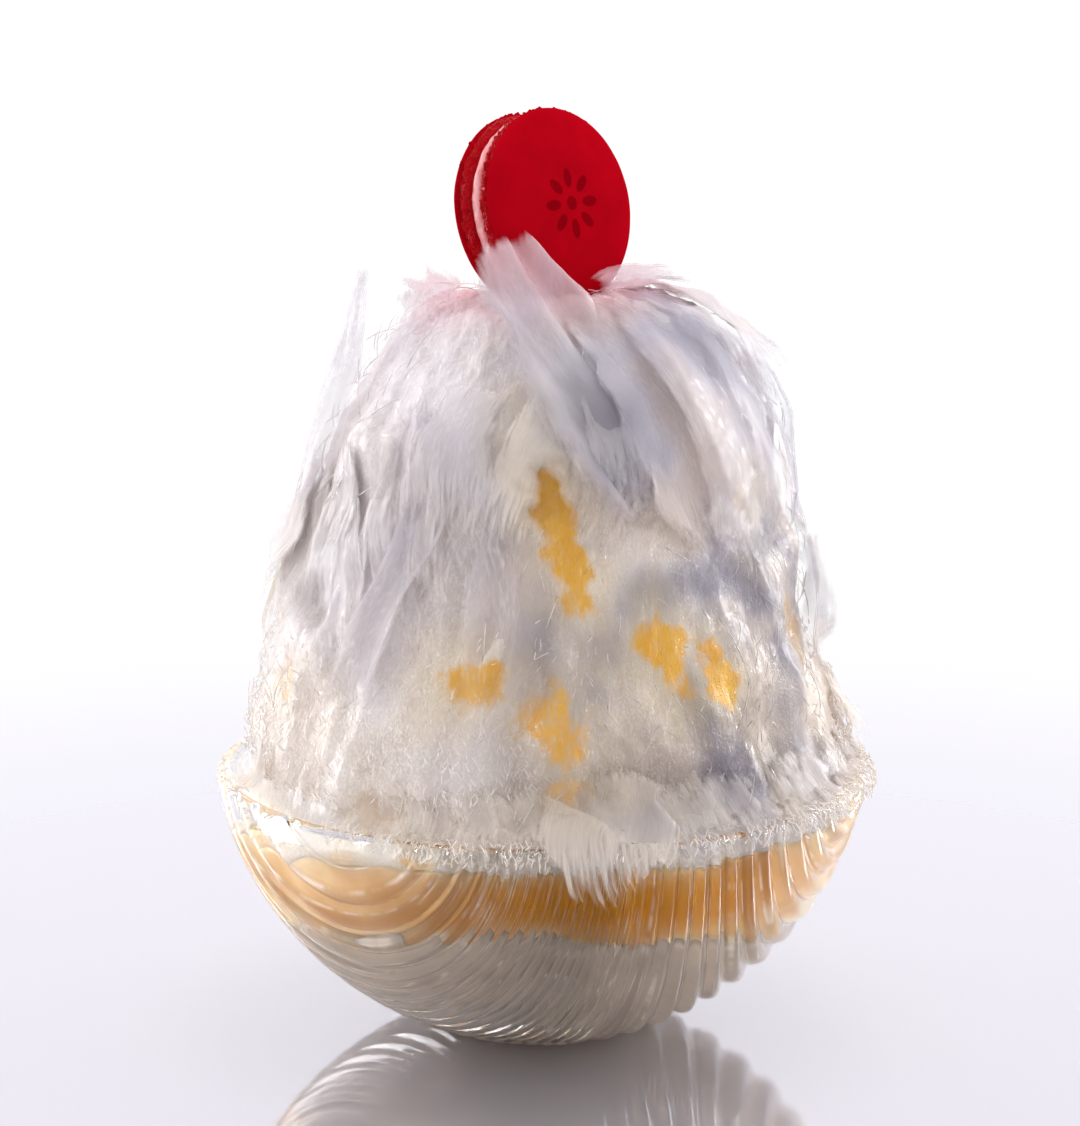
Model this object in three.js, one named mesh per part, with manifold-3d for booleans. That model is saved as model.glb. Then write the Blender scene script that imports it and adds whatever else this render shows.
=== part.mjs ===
// Kakigori: a tall mound of thin shaved ice flakes over mango sauce and cream, in a clear pressed
// glass bowl with slanting ribs, with a red macaron standing on edge on top.
// Millimetres, +Z up. The bowl stands on Z = 0, its axis is the Z axis and -Y is the front.
import * as THREE from 'three';
import { mergeVertices } from 'three/addons/utils/BufferGeometryUtils.js';
import Module from 'manifold-3d';

// ---- driving dimensions -----------------------------------------------------------------------

const GAP = 0.3; // clearance between neighbouring pieces

// bowl
const BOWL_RADIUS = 73.5;
const FLARE = 1; // how much wider the ellipsoid that the wall follows gets above the rim
const BOWL_DEPTH = 61.25; // from the rim down to the lowest point of the outer ellipsoid
const BASE_CUT = 3.5; // what the flat base takes off that ellipsoid
const WALL = 4;
const FLOOR = 4.3; // glass under the middle
const RIB_CENTRE = new THREE.Vector2(0.5 * BOWL_RADIUS, -1.6 * BOWL_RADIUS); // all ribs radiate from it
const LEFT_RIBS = 10; // from the middle rib to the bowl's left side
const RIGHT_RIBS = 14; // to its right side, where they are evenly spaced round the rim
const RIB_DEPTH = 1;
const RIB_FADE = [19.5, 28]; // radii over which the ribs start around the flat base
const LAST_CHORD = 0.997; // distance of the outermost rib line from the axis, in radii

// food inside the bowl
const FOOD_CLEARANCE = 0.85; // gap to the wall, with room for the wall's flat facets
const CREAM_HEIGHT = 32.9;
const SAUCE_HEIGHT = 54.4;
const LEFT_DIP = 8; // how far both sink toward the left side
const ROUND_STEPS = 36; // sides and rings of the layers and of the ice on them, which fit each other
const LAYER_RINGS = 6;

// shaved ice
const ICE_FLAKE = 1.7; // thickness of a clump of flakes
const ICE_LUMP = 2.4; // size of the lumps on the mound
const LOOSE_FLAKES = 15;
const ICE_TOLERANCE = 0.25; // how far the fused ice may be evened out

// macaron, round its own axis
const MACARON_RADIUS = 21.7;
const SHELL_DOME = 4.4;
const SHELL_FOOT = 3.3;
const FILLING = 2.8;
const MACARON_SIDES = 34;
const MACARON_TURN = THREE.MathUtils.degToRad(45.5); // its face turned to the right of the front
const MACARON_LEAN = THREE.MathUtils.degToRad(14); // its face looking upward
const MACARON_CENTRE = new THREE.Vector3(0.3, 0, 185.3);

// ---- worked out from them ---------------------------------------------------------------------

const RIM_Z = BOWL_DEPTH - BASE_CUT; // where the wall ends and the lip starts
const INNER_RADIUS = BOWL_RADIUS - WALL;
const INNER_DEPTH = RIM_Z - FLOOR;

const wasm = await Module();
wasm.setup();

// ---- helpers ----------------------------------------------------------------------------------

let seed = 20260;
function random() {
  seed = (seed * 1664525 + 1013904223) % 4294967296;
  return seed / 4294967296;
}

function between(low, high) {
  return low + (high - low) * random();
}

// A fixed uneven value in -1..1 for a row and an angle, the same at both ends of a full turn.
function uneven(row, angle) {
  const step = Math.round((angle / (2 * Math.PI)) * 360) % 360;
  const value = Math.sin(row * 127.1 + step * 311.7) * 43758.5453;
  return 2 * (value - Math.floor(value)) - 1;
}

// Height of a bowl-shaped surface over its lowest point, at a distance from its axis: an ellipsoid
// that ends at radius, a little below its widest circle.
function bowlRise(distance, radius, depth) {
  const sweep = (reach) => 1 - Math.sqrt(1 - (Math.min(reach, radius) / (radius + FLARE)) ** 2);
  return (depth * sweep(distance)) / sweep(radius);
}

// A closed plate: place(u, v, w) gives its points, with u and v across it and w through it.
// Both faces are split into the same triangles.
function plate(nu, nv, nw, place) {
  const points = [];
  const known = new Map();
  const vertex = (i, j, k) => {
    const key = (k * (nv + 1) + j) * (nu + 1) + i;
    if (!known.has(key)) {
      known.set(key, points.length / 3);
      points.push(...place(i / nu, j / nv, k / nw).toArray());
    }
    return known.get(key);
  };
  const index = [];
  const quad = (a, b, c, d) => index.push(a, b, c, a, c, d);
  for (let i = 0; i < nu; i++) {
    for (let j = 0; j < nv; j++) {
      quad(vertex(i, j, nw), vertex(i + 1, j, nw), vertex(i + 1, j + 1, nw), vertex(i, j + 1, nw));
      const [a, b] = [vertex(i, j, 0), vertex(i + 1, j, 0)];
      const [c, d] = [vertex(i + 1, j + 1, 0), vertex(i, j + 1, 0)];
      index.push(a, c, b, a, d, c);
    }
  }
  for (let k = 0; k < nw; k++) {
    for (let i = 0; i < nu; i++) {
      quad(vertex(i, 0, k), vertex(i + 1, 0, k), vertex(i + 1, 0, k + 1), vertex(i, 0, k + 1));
      quad(vertex(i + 1, nv, k), vertex(i, nv, k), vertex(i, nv, k + 1), vertex(i + 1, nv, k + 1));
    }
    for (let j = 0; j < nv; j++) {
      quad(vertex(0, j + 1, k), vertex(0, j, k), vertex(0, j, k + 1), vertex(0, j + 1, k + 1));
      quad(vertex(nu, j, k), vertex(nu, j + 1, k), vertex(nu, j + 1, k + 1), vertex(nu, j, k + 1));
    }
  }
  const geometry = new THREE.BufferGeometry();
  geometry.setAttribute('position', new THREE.Float32BufferAttribute(points, 3));
  geometry.setIndex(index);
  return geometry;
}

// A closed round body on the Z axis from a profile of [radius, z], bottom to top, that starts and
// ends on the axis. shape(point, row, angle) may then move each of its points.
function turned(profile, segments, shape = null) {
  const lathe = new THREE.LatheGeometry(profile.map(([r, z]) => new THREE.Vector2(r, z)), segments);
  lathe.deleteAttribute('normal');
  lathe.deleteAttribute('uv');
  lathe.rotateX(Math.PI / 2);
  if (shape) {
    const place = lathe.getAttribute('position');
    const point = new THREE.Vector3();
    for (let i = 0; i < place.count; i++) {
      const row = i % profile.length;
      const turn = (Math.floor(i / profile.length) % segments) / segments;
      point.fromBufferAttribute(place, i);
      shape(point, row, turn * 2 * Math.PI);
      place.setXYZ(i, point.x, point.y, point.z);
    }
  }
  return lathe;
}

function toManifold(geometry) {
  const merged = mergeVertices(geometry, 1e-3);
  return new wasm.Manifold(new wasm.Mesh({
    numProp: 3,
    vertProperties: new Float32Array(merged.getAttribute('position').array),
    triVerts: new Uint32Array(merged.getIndex().array),
  }));
}

function toGeometry(solid) {
  const mesh = solid.getMesh();
  const geometry = new THREE.BufferGeometry();
  geometry.setAttribute('position', new THREE.BufferAttribute(mesh.vertProperties, 3));
  geometry.setIndex(new THREE.BufferAttribute(mesh.triVerts, 1));
  return geometry;
}

// The largest separate piece of a solid: what fusing leaves loose beside it is dropped.
function mainPiece(solid) {
  return solid.decompose().reduce((best, piece) => (piece.volume() > best.volume() ? piece : best));
}

const group = new THREE.Group();
function add(name, geometry, color, roughness) {
  const material = new THREE.MeshStandardMaterial({ color, roughness, metalness: 0 });
  const mesh = new THREE.Mesh(geometry, material);
  mesh.name = name;
  group.add(mesh);
  return mesh;
}

// ---- glass bowl -------------------------------------------------------------------------------

// The bowl is meshed along its ribs: lines that radiate from RIB_CENTRE and cross the bowl.
const toAxis = RIB_CENTRE.clone().negate();
const centreDistance = RIB_CENTRE.length();
const lastAngle = Math.asin((LAST_CHORD * BOWL_RADIUS) / centreDistance);

// How many ribs a line lies to the right of the middle rib; share is its share of lastAngle.
function ribsAcross(share) {
  const offset = centreDistance * Math.sin(lastAngle * share);
  return share < 0 ? share * LEFT_RIBS : (RIGHT_RIBS * Math.asin(offset / BOWL_RADIUS)) / (Math.PI / 2);
}

// Ridge and valley of every rib, and one more line at the left side, where the wall is steep.
const ribLines = [-1, 0.25 / LEFT_RIBS - 1];
for (let i = 1 - 2 * LEFT_RIBS; i <= 0; i++) {
  ribLines.push(i / 2 / LEFT_RIBS);
}
for (let i = 1; i / 2 < ribsAcross(1); i++) {
  const offset = BOWL_RADIUS * Math.sin(((i / 2 / RIGHT_RIBS) * Math.PI) / 2);
  ribLines.push(Math.asin(offset / centreDistance) / lastAngle);
}
ribLines.push(1);

function bowlPlan(share, along) {
  const angle = lastAngle * share;
  const offset = centreDistance * Math.sin(angle);
  const half = Math.sqrt(BOWL_RADIUS ** 2 - offset ** 2);
  const ahead = centreDistance * Math.cos(angle) + half * Math.sin((along - 0.5) * Math.PI);
  const direction = toAxis.clone().normalize().rotateAround(new THREE.Vector2(), -angle);
  return direction.multiplyScalar(ahead).add(RIB_CENTRE);
}

function bowlPoint(u, v, w) {
  const share = ribLines[Math.round(u * (ribLines.length - 1))];
  const plan = bowlPlan(share, v);
  const radius = plan.length();
  if (w > 0 && w < 1) { // the lip, a half round over the top of the wall
    const turn = w * Math.PI;
    const middle = BOWL_RADIUS - WALL / 2;
    plan.setLength(middle + (WALL / 2) * Math.cos(turn));
    return new THREE.Vector3(plan.x, plan.y, RIM_Z + (WALL / 2) * Math.sin(turn));
  }
  if (w === 1) {
    plan.multiplyScalar(INNER_RADIUS / BOWL_RADIUS);
    const z = FLOOR + bowlRise(plan.length(), INNER_RADIUS, INNER_DEPTH);
    return new THREE.Vector3(plan.x, plan.y, z);
  }
  const z = Math.max(0, bowlRise(radius, BOWL_RADIUS, BOWL_DEPTH) - BASE_CUT);
  const valley = (1 - Math.cos(2 * Math.PI * ribsAcross(share))) / 2;
  const groove = RIB_DEPTH * valley * THREE.MathUtils.smoothstep(radius, ...RIB_FADE);
  const centre = new THREE.Vector3(0, 0, RIM_Z);
  const arm = new THREE.Vector3(plan.x, plan.y, z).sub(centre);
  return arm.setLength(arm.length() - groove).add(centre);
}

add('bowl', plate(ribLines.length - 1, 12, 3, bowlPoint), 0xe6ecef, 0.04);

// ---- cream and mango sauce in the bowl --------------------------------------------------------

const foodRadius = INNER_RADIUS - FOOD_CLEARANCE;
const foodDepth = INNER_DEPTH - FOOD_CLEARANCE;
const foodFloor = FLOOR + FOOD_CLEARANCE;

function wallHeight(radius) {
  return foodFloor + bowlRise(radius, foodRadius, foodDepth);
}

function leftDip(angle) {
  return LEFT_DIP * Math.max(0, -Math.cos(angle)) ** 1.5;
}

// The cream lies highest in front and dips at the sides, where the sauce ran down the glass.
function creamTop(radius, angle) {
  const edge = (radius / foodRadius) ** 2;
  const front = -2.7 * Math.sin(angle);
  const sides = -2.5 * Math.cos(angle) - 2.9 * Math.cos(2 * angle);
  const ripple = 0.8 * Math.sin(7 * angle + 1) + 0.6 * Math.sin(11 * angle);
  return CREAM_HEIGHT + (front + sides + ripple - leftDip(angle)) * edge;
}

function sauceTop(radius, angle) {
  const edge = (radius / foodRadius) ** 2;
  const ripple = 0.7 * Math.sin(3 * angle + 2) + 0.5 * Math.sin(8 * angle) + 0.4 * Math.sin(13 * angle);
  return SAUCE_HEIGHT + (ripple - leftDip(angle)) * edge;
}

// Radius at which a layer's top meets the glass.
function wallRadius(top, angle) {
  let low = 0;
  let high = foodRadius;
  for (let i = 0; i < 30; i++) {
    const middle = (low + high) / 2;
    if (wallHeight(middle) < top(middle, angle)) {
      low = middle;
    } else {
      high = middle;
    }
  }
  return low;
}

// A layer from the one below, or the bowl's floor, up to its own top. rows lists its rings from
// the middle of its underside round to the middle of its top, as [surface, share of its span].
function layer(lower, upper) {
  const rows = [];
  for (let i = 0; i < LAYER_RINGS; i++) {
    rows.push(['under', i / LAYER_RINGS]);
  }
  if (lower) {
    rows.push(['under', 1], ['wall', 0.15], ['wall', 0.5]);
  }
  for (let i = LAYER_RINGS; i >= 0; i--) {
    rows.push(['over', i / LAYER_RINGS]);
  }
  return turned(rows.map(([, share], i) => [share, i]), ROUND_STEPS, (point, row, angle) => {
    const [surface, share] = rows[row];
    const reach = wallRadius(upper, angle);
    const start = lower ? wallRadius((r, a) => lower(r, a) + GAP, angle) : reach;
    let radius = share * reach;
    let height = upper(radius, angle);
    if (surface === 'under') {
      radius = share * start;
      height = lower ? lower(radius, angle) + GAP : wallHeight(radius);
    } else if (surface === 'wall') {
      radius = start + share * (reach - start);
      height = wallHeight(radius);
    }
    point.set(radius * Math.cos(angle), radius * Math.sin(angle), height);
  });
}

add('cream_layer', layer(null, creamTop), 0xe4ddd2, 0.45);
add('mango_layer', layer(creamTop, sauceTop), 0xd68a1c, 0.25);

// ---- macaron ----------------------------------------------------------------------------------

// Profiles along the macaron's own axis: the filling lies across z = 0 and a shell stands on it.
const shellBottom = FILLING / 2 + GAP / 2;
const footTop = shellBottom + SHELL_FOOT;
const shellTop = footTop + SHELL_DOME;

function shellProfile() {
  const profile = [[0, shellBottom], [MACARON_RADIUS * 0.8, shellBottom]];
  profile.push([MACARON_RADIUS * 0.95, shellBottom + 0.3]);
  profile.push([MACARON_RADIUS * 0.985, shellBottom + SHELL_FOOT * 0.45]);
  profile.push([MACARON_RADIUS * 0.955, footTop - 0.2]);
  const steps = 7;
  for (let i = 0; i <= steps; i++) { // the dome: a full edge that flattens to a broad smooth face
    const turn = (i / steps) * Math.PI / 2;
    const reach = MACARON_RADIUS * Math.cos(turn) ** 0.62;
    profile.push([i === steps ? 0 : reach, footTop + SHELL_DOME * Math.sin(turn)]);
  }
  return profile;
}

// The foot under the dome is a ruffled, crumbly band.
function ruffled(point, row, angle) {
  if (row < 2 || row > 4) {
    return;
  }
  const waves = 0.35 * Math.sin(9 * angle + row) + 0.3 * Math.sin(14 * angle + 2 * row);
  const ruffle = waves + 0.2 * uneven(row, angle);
  const radius = Math.hypot(point.x, point.y);
  point.x *= (radius + ruffle) / radius;
  point.y *= (radius + ruffle) / radius;
}

function fillingProfile() {
  const half = FILLING / 2 - GAP / 2;
  const rim = MACARON_RADIUS * 0.93;
  const edge = [[rim - 1, -half], [rim, -half * 0.5], [rim, half * 0.5], [rim - 1, half]];
  return [[0, -half], ...edge, [0, half]];
}

const macaronPose = new THREE.Matrix4();
const face = new THREE.Vector3(
  Math.cos(MACARON_LEAN) * Math.sin(MACARON_TURN),
  -Math.cos(MACARON_LEAN) * Math.cos(MACARON_TURN),
  Math.sin(MACARON_LEAN),
);
macaronPose.makeRotationFromQuaternion(
  new THREE.Quaternion().setFromUnitVectors(new THREE.Vector3(0, 0, 1), face),
).setPosition(MACARON_CENTRE);

const shell = turned(shellProfile(), MACARON_SIDES, ruffled);
const turnedOver = new THREE.Matrix4().makeRotationX(Math.PI);
add('macaron_front_shell', shell.clone().applyMatrix4(macaronPose), 0xa80014, 0.5);
add('macaron_back_shell', shell.clone().applyMatrix4(turnedOver).applyMatrix4(macaronPose), 0xa80014, 0.5);
add('macaron_filling', turned(fillingProfile(), MACARON_SIDES).applyMatrix4(macaronPose), 0xe08c84, 0.6);

// The macaron's outer form a little larger, for the hollow it sits in.
function macaronRoom() {
  const reach = MACARON_RADIUS + 2.5 * GAP;
  const top = shellTop + 2 * GAP;
  const half = [[reach, 0], [reach, footTop + 1.2], [0.86 * reach, shellTop], [0.55 * reach, top], [0, top]];
  const mirrored = half.slice(1).reverse().map(([r, z]) => [r, -z]);
  return turned([...mirrored, ...half], MACARON_SIDES).applyMatrix4(macaronPose);
}

// ---- shaved ice -------------------------------------------------------------------------------

// Half widths of the mound by height: to the left (-X), to the right, and to the front and back.
// On the left it leaves the lip of the bowl free.
const MOUND = [
  { z: 57, left: 65.5, right: 70, front: 69.5 },
  { z: 66, left: 64, right: 68.5, front: 68 },
  { z: 76, left: 63.5, right: 66, front: 65.5 },
  { z: 92, left: 62, right: 60.5, front: 60.5 },
  { z: 110, left: 57.5, right: 58.5, front: 55.5 },
  { z: 127, left: 51.5, right: 54.5, front: 51 },
  { z: 141, left: 46.5, right: 52.5, front: 47.5 },
  { z: 150, left: 40, right: 48.5, front: 41.5 },
  { z: 158, left: 33, right: 43.5, front: 35.5 },
  { z: 164, left: 26.5, right: 37, front: 28.75 },
  { z: 167, left: 17, right: 26, front: 18 },
  { z: 168, left: 0, right: 0, front: 0 },
];

// Distance of the mound's surface from the axis at a height and an angle.
function moundRadius(z, angle) {
  const i = Math.max(1, MOUND.findIndex((level) => level.z >= z));
  const [low, high] = [MOUND[i - 1], MOUND[i]];
  const share = THREE.MathUtils.clamp((z - low.z) / (high.z - low.z), 0, 1);
  const width = (side) => low[side] + (high[side] - low[side]) * share;
  const beside = width(Math.cos(angle) < 0 ? 'left' : 'right') - width('front');
  return width('front') + beside * Math.cos(angle) ** 2;
}

function lump(z, angle) {
  const broad = Math.sin(5 * angle + z / 11) + Math.sin(8 * angle - z / 7 + 2);
  return ICE_LUMP * (0.5 * broad + 0.7 * uneven(z, angle));
}

// The packed ice: its underside lies on the sauce and its sides rise in the bowl and above it.
function iceCore() {
  const rows = [];
  for (let i = 0; i <= LAYER_RINGS; i++) {
    rows.push(['under', i / LAYER_RINGS]);
  }
  rows.push(['wall', 0.5]);
  const levels = 13;
  for (let i = 0; i <= levels; i++) {
    rows.push(['mound', i / levels]);
  }
  const [foot, top] = [MOUND[0].z, MOUND[MOUND.length - 1].z];
  const profile = rows.map(([, share], i) => [i === rows.length - 1 ? 0 : Math.max(share, i && 0.1), i]);
  return turned(profile, ROUND_STEPS, (point, row, angle) => {
    const [surface, share] = rows[row];
    const under = (r, a) => sauceTop(r, a) + GAP + ICE_TOLERANCE;
    const reach = wallRadius(under, angle);
    let radius = surface === 'under' ? share * reach : reach;
    let height = under(radius, angle);
    if (surface === 'wall') {
      height += share * (foot - height);
      radius = wallRadius(() => height, angle);
    }
    if (surface === 'mound') {
      height = foot + (top - foot) * Math.sin(share * Math.PI / 2) ** 0.9;
      radius = share === 1 ? 0 : moundRadius(height, angle) - 1.5 + lump(height, angle);
    }
    point.set(radius * Math.cos(angle), radius * Math.sin(angle), height);
  });
}

// The room that the glass takes up, a little larger on every side, for trimming the ice.
function bowlRoom() {
  const outer = [];
  const inner = [];
  const steps = 20;
  const [reach, depth] = [BOWL_RADIUS + 2 * GAP, BOWL_DEPTH + GAP];
  for (let i = 0; i <= steps; i++) {
    const share = Math.sin(((i / steps) * Math.PI) / 2);
    outer.push([share * reach, RIM_Z - depth + bowlRise(share * reach, reach, depth)]);
    inner.unshift([share * foodRadius, wallHeight(share * foodRadius)]);
  }
  const middle = BOWL_RADIUS - WALL / 2;
  const half = WALL / 2 + 3 * GAP;
  const lip = [0.25, 0.5, 0.75].map((share) => {
    const turn = share * Math.PI;
    return [middle + half * Math.cos(turn), RIM_Z + half * Math.sin(turn)];
  });
  return turned([...outer, ...lip, ...inner], 64);
}

// A veil of fused flakes: a thin wavy strip along a spine of [x, y, z, half width], lying across
// the way out from the mound, with its edges curled and its folds running along it.
function veil(spine, { folds = 2, depth = 1.2, cells = [5, 5], lift = 0 }) {
  const curve = new THREE.CatmullRomCurve3(spine.map(([x, y, z]) => new THREE.Vector3(x, y, z)));
  const widths = new THREE.SplineCurve(spine.map(([, , , w], i) => new THREE.Vector2(i, w)));
  return plate(cells[0], cells[1], 1, (u, v, w) => {
    const place = curve.getPoint(v);
    const along = curve.getTangent(v);
    const out = new THREE.Vector3(place.x, place.y, 25).normalize();
    const across = new THREE.Vector3().crossVectors(along, out).normalize();
    out.crossVectors(across, along).normalize();
    const side = 2 * u - 1;
    const half = widths.getPoint(v).y * (1 - 0.25 * Math.abs(Math.sin(4 * v + folds)) * Math.abs(side));
    const fold = depth * Math.cos(side * Math.PI * folds) - 0.05 * half * side * side;
    const thick = ICE_FLAKE * (w - 0.5) * (1 - 0.5 * Math.abs(side));
    return place.addScaledVector(across, side * half).addScaledVector(out, fold + thick + lift);
  });
}

const veils = [
  // a smooth petal leaning on the macaron and running down the front
  veil([[-9, -20.5, 183.5, 6.5], [-1, -31, 168, 10.5], [11, -41, 151, 12], [18, -46.5, 137, 10],
    [23, -48, 124, 6]],
    { folds: 2.5, depth: 1, cells: [8, 5] }),
  // a second petal to the right of it, half under it
  veil([[8, -18, 170, 7], [19, -30, 161, 12], [29, -39, 147, 14], [34.5, -42, 131, 13], [38, -41, 117, 9]],
    { folds: 1, cells: [4, 5] }),
  // a broad drape over the right shoulder
  veil([[17, -13, 170.8, 9], [31, -26, 161, 13.5], [42, -31.5, 142.5, 16], [47, -33, 125, 16],
    [49, -33.5, 114, 12]],
    { folds: 2, depth: 1.3, cells: [7, 5] }),
  veil([[44.5, 3, 156, 9], [53.5, -2, 138.5, 12], [57.5, -3, 121, 12], [60, -2, 111, 7]], { folds: 1.5 }),
  veil([[58.5, -6, 115, 5], [61, -9, 104, 6], [60.5, -14, 91, 6.5], [63, -13, 79, 5]], { folds: 1.5 }),
  // a thin spire on the left, and strands that fall from it
  veil([[-38.5, -2, 174, 2.5], [-42.5, -4, 157, 6], [-48.5, -10, 137, 8], [-55, -16, 114, 6]], { folds: 1 }),
  veil([[-25, -37, 151, 5], [-29, -44, 123, 9], [-40, -45, 101, 10], [-47, -44, 83.5, 8]], { folds: 2 }),
  veil([[-2, -48, 140.5, 5], [-6, -53, 119, 9], [-8, -57, 97, 9], [-16, -62, 80, 7]], { folds: 2 }),
  // ruffles round the macaron's foot
  veil([[12, -14, 170, 5], [23, -8, 172.5, 6], [36, -2, 170, 5]], { folds: 1, cells: [3, 5] }),
  veil([[-28, 2, 171, 4], [-24, -8, 168, 6], [-26, -22, 160, 8]], { folds: 1, cells: [3, 5] }),
  // the tongue that runs over the rim in front
  veil([[15, -63, 71, 13], [15, -68.5, 64.3, 15], [14, -73.5, 61.5, 14], [15, -75.6, 54, 9],
    [17, -75.2, 48.5, 5]],
    { folds: 2, depth: 0.5, cells: [5, 7], lift: 0.6 }),
];

// Loose flakes all round: they lie along the mound, mostly downward, and stand off it below.
for (let i = 0; i < LOOSE_FLAKES; i++) {
  const angle = 2.4 * i;
  const top = 93 + 70 * ((i * Math.SQRT2) % 1);
  const length = between(20, 32);
  const slant = between(-0.3, 0.3);
  const half = between(5.5, 9);
  const stand = between(0.8, 3.2);
  const spine = [0, 0.5, 1].map((share) => {
    const z = top - length * share;
    const turn = angle + slant * share;
    const radius = moundRadius(z, turn) - 1 + stand * share;
    return [radius * Math.cos(turn), radius * Math.sin(turn), z, half * (1 - 0.45 * share)];
  });
  veils.push(veil(spine, { folds: 1, depth: 0.9, cells: [2, 3] }));
}

let ice = toManifold(iceCore());
for (const piece of veils) {
  ice = ice.add(toManifold(piece));
}
ice = mainPiece(ice).simplify(ICE_TOLERANCE);
ice = ice.subtract(toManifold(macaronRoom())).subtract(toManifold(bowlRoom()));
ice = mainPiece(toManifold(toGeometry(mainPiece(ice))));
add('shaved_ice', toGeometry(ice), 0xdcdde4, 0.6);

export default group;
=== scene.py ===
import math

import bpy
import numpy as np
from mathutils import Matrix, Vector, noise


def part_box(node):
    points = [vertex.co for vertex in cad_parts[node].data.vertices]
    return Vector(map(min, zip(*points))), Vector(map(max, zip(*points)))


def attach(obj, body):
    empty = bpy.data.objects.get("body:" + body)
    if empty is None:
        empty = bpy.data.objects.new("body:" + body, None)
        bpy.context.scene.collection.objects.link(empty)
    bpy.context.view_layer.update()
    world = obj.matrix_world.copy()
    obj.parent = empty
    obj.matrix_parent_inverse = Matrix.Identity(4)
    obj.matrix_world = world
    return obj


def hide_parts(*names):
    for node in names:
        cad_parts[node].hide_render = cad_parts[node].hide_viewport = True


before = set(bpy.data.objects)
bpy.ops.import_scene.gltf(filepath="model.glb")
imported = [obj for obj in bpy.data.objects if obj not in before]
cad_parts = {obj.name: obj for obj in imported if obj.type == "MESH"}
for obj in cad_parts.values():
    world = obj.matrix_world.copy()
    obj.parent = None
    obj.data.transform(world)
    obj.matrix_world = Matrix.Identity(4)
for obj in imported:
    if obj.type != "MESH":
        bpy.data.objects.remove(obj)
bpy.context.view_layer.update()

MM = 0.001

# ---- The glass bowl ---------------------------------------------------------------------------
# Clear pressed soda-lime glass, thick and round at the lip, standing on a small flat base. The
# mould gave its outside slanting rounded ribs: lines that in plan all start from one point beside
# the bowl, so that they lie nearly level on the left and stand upright on the right.

bowl_low, bowl_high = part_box("bowl")
BOWL_RADIUS = (bowl_high[1] - bowl_low[1]) / 2
FLARE = 1 * MM  # how much wider the ellipsoid that the wall follows gets above the rim
BOWL_DEPTH = 61.25 * MM  # from the rim down to the lowest point of that ellipsoid
BASE_CUT = 3.5 * MM
WALL = 4 * MM
FLOOR = 4.3 * MM
RIM_Z = BOWL_DEPTH - BASE_CUT
INNER_RADIUS = BOWL_RADIUS - WALL
LEFT_RIBS, RIGHT_RIBS = 10, 14  # from the middle rib to each side; each left one is split in two
RIB_DEPTH = 2 * MM
RIB_CENTRE = np.array([0.5, -1.6]) * BOWL_RADIUS
RIB_FADE = (19.5 * MM, 28 * MM)
LAST_CHORD = 0.9985  # distance of the outermost rib line from the axis, in radii


def linear(code):
    """The linear colour of an sRGB hex code."""
    parts = [int(code[i:i + 2], 16) / 255 for i in (0, 2, 4)]
    return [c / 12.92 if c <= 0.04045 else ((c + 0.055) / 1.055) ** 2.4 for c in parts] + [1.0]


def node(tree, kind, inputs=(), out=None, **settings):
    """Adds a node with its settings and gives it, or the output named by out. Inputs are values,
    hex colours or links, in the sockets' order or as a dict from their names or numbers."""
    made = tree.nodes.new(kind)
    for name, value in settings.items():
        setattr(made, name, value)
    for key, value in inputs.items() if isinstance(inputs, dict) else enumerate(inputs):
        if isinstance(value, bpy.types.NodeSocket):
            tree.links.new(value, made.inputs[key])
        elif made.inputs[key].type == "RGBA":
            made.inputs[key].default_value = linear(value)
        else:
            made.inputs[key].default_value = value
    return made if out is None else made.outputs[out]


def new_material(name):
    material = bpy.data.materials.new(name)
    material.use_nodes = True
    material.node_tree.nodes.clear()
    return material, material.node_tree


def smoothstep(x, low, high):
    t = np.clip((x - low) / (high - low), 0, 1)
    return t * t * (3 - 2 * t)


def sweep(distance, radius):
    """Share of its depth by which the wall's ellipsoid has risen at a distance from its axis."""
    return 1 - np.sqrt(1 - (np.clip(distance, 0, radius) / (radius + FLARE)) ** 2)


def rise(distance, radius, depth):
    """Height over its lowest point of a bowl that ends at a radius, at a distance from its axis."""
    return depth * sweep(distance, radius) / sweep(radius, radius)


def grid_faces(rows, columns, start=0, closed=False, flip=False):
    """Quads over a grid of rows by columns of points; closed joins the last column to the first."""
    reach = columns if closed else columns - 1
    i, j = np.meshgrid(np.arange(rows - 1), np.arange(reach), indexing="ij")
    k = (j + 1) % columns
    low, high = i * columns, (i + 1) * columns
    quads = np.stack([low + j, low + k, high + k, high + j], -1).reshape(-1, 4) + start
    return quads[:, ::-1] if flip else quads


def make_piece(name, points, faces, material, grain=None, smooth=True, **fields):
    """A mesh object with one number or vector for each point in each named field."""
    mesh = bpy.data.meshes.new(name)
    mesh.from_pydata([tuple(p) for p in points], [], [tuple(int(i) for i in f) for f in faces])
    if grain is not None:
        layer = mesh.attributes.new("grain", "FLOAT_VECTOR", "POINT")
        layer.data.foreach_set("vector", np.asarray(grain, np.float32).ravel())
    for field, values in fields.items():
        layer = mesh.attributes.new(field, "FLOAT", "POINT")
        layer.data.foreach_set("value", np.asarray(values, np.float32).ravel())
    mesh.polygons.foreach_set("use_smooth", [smooth] * len(mesh.polygons))
    if material is not None:
        mesh.materials.append(material)
    mesh.update()
    made = bpy.data.objects.new(name, mesh)
    bpy.context.scene.collection.objects.link(made)
    return made


def stand_for(piece, slot, *nodes):
    """The piece rides with the whole and stands for these solids; its slot is not used."""
    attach(piece, "root")
    if nodes:
        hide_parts(*nodes)


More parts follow.
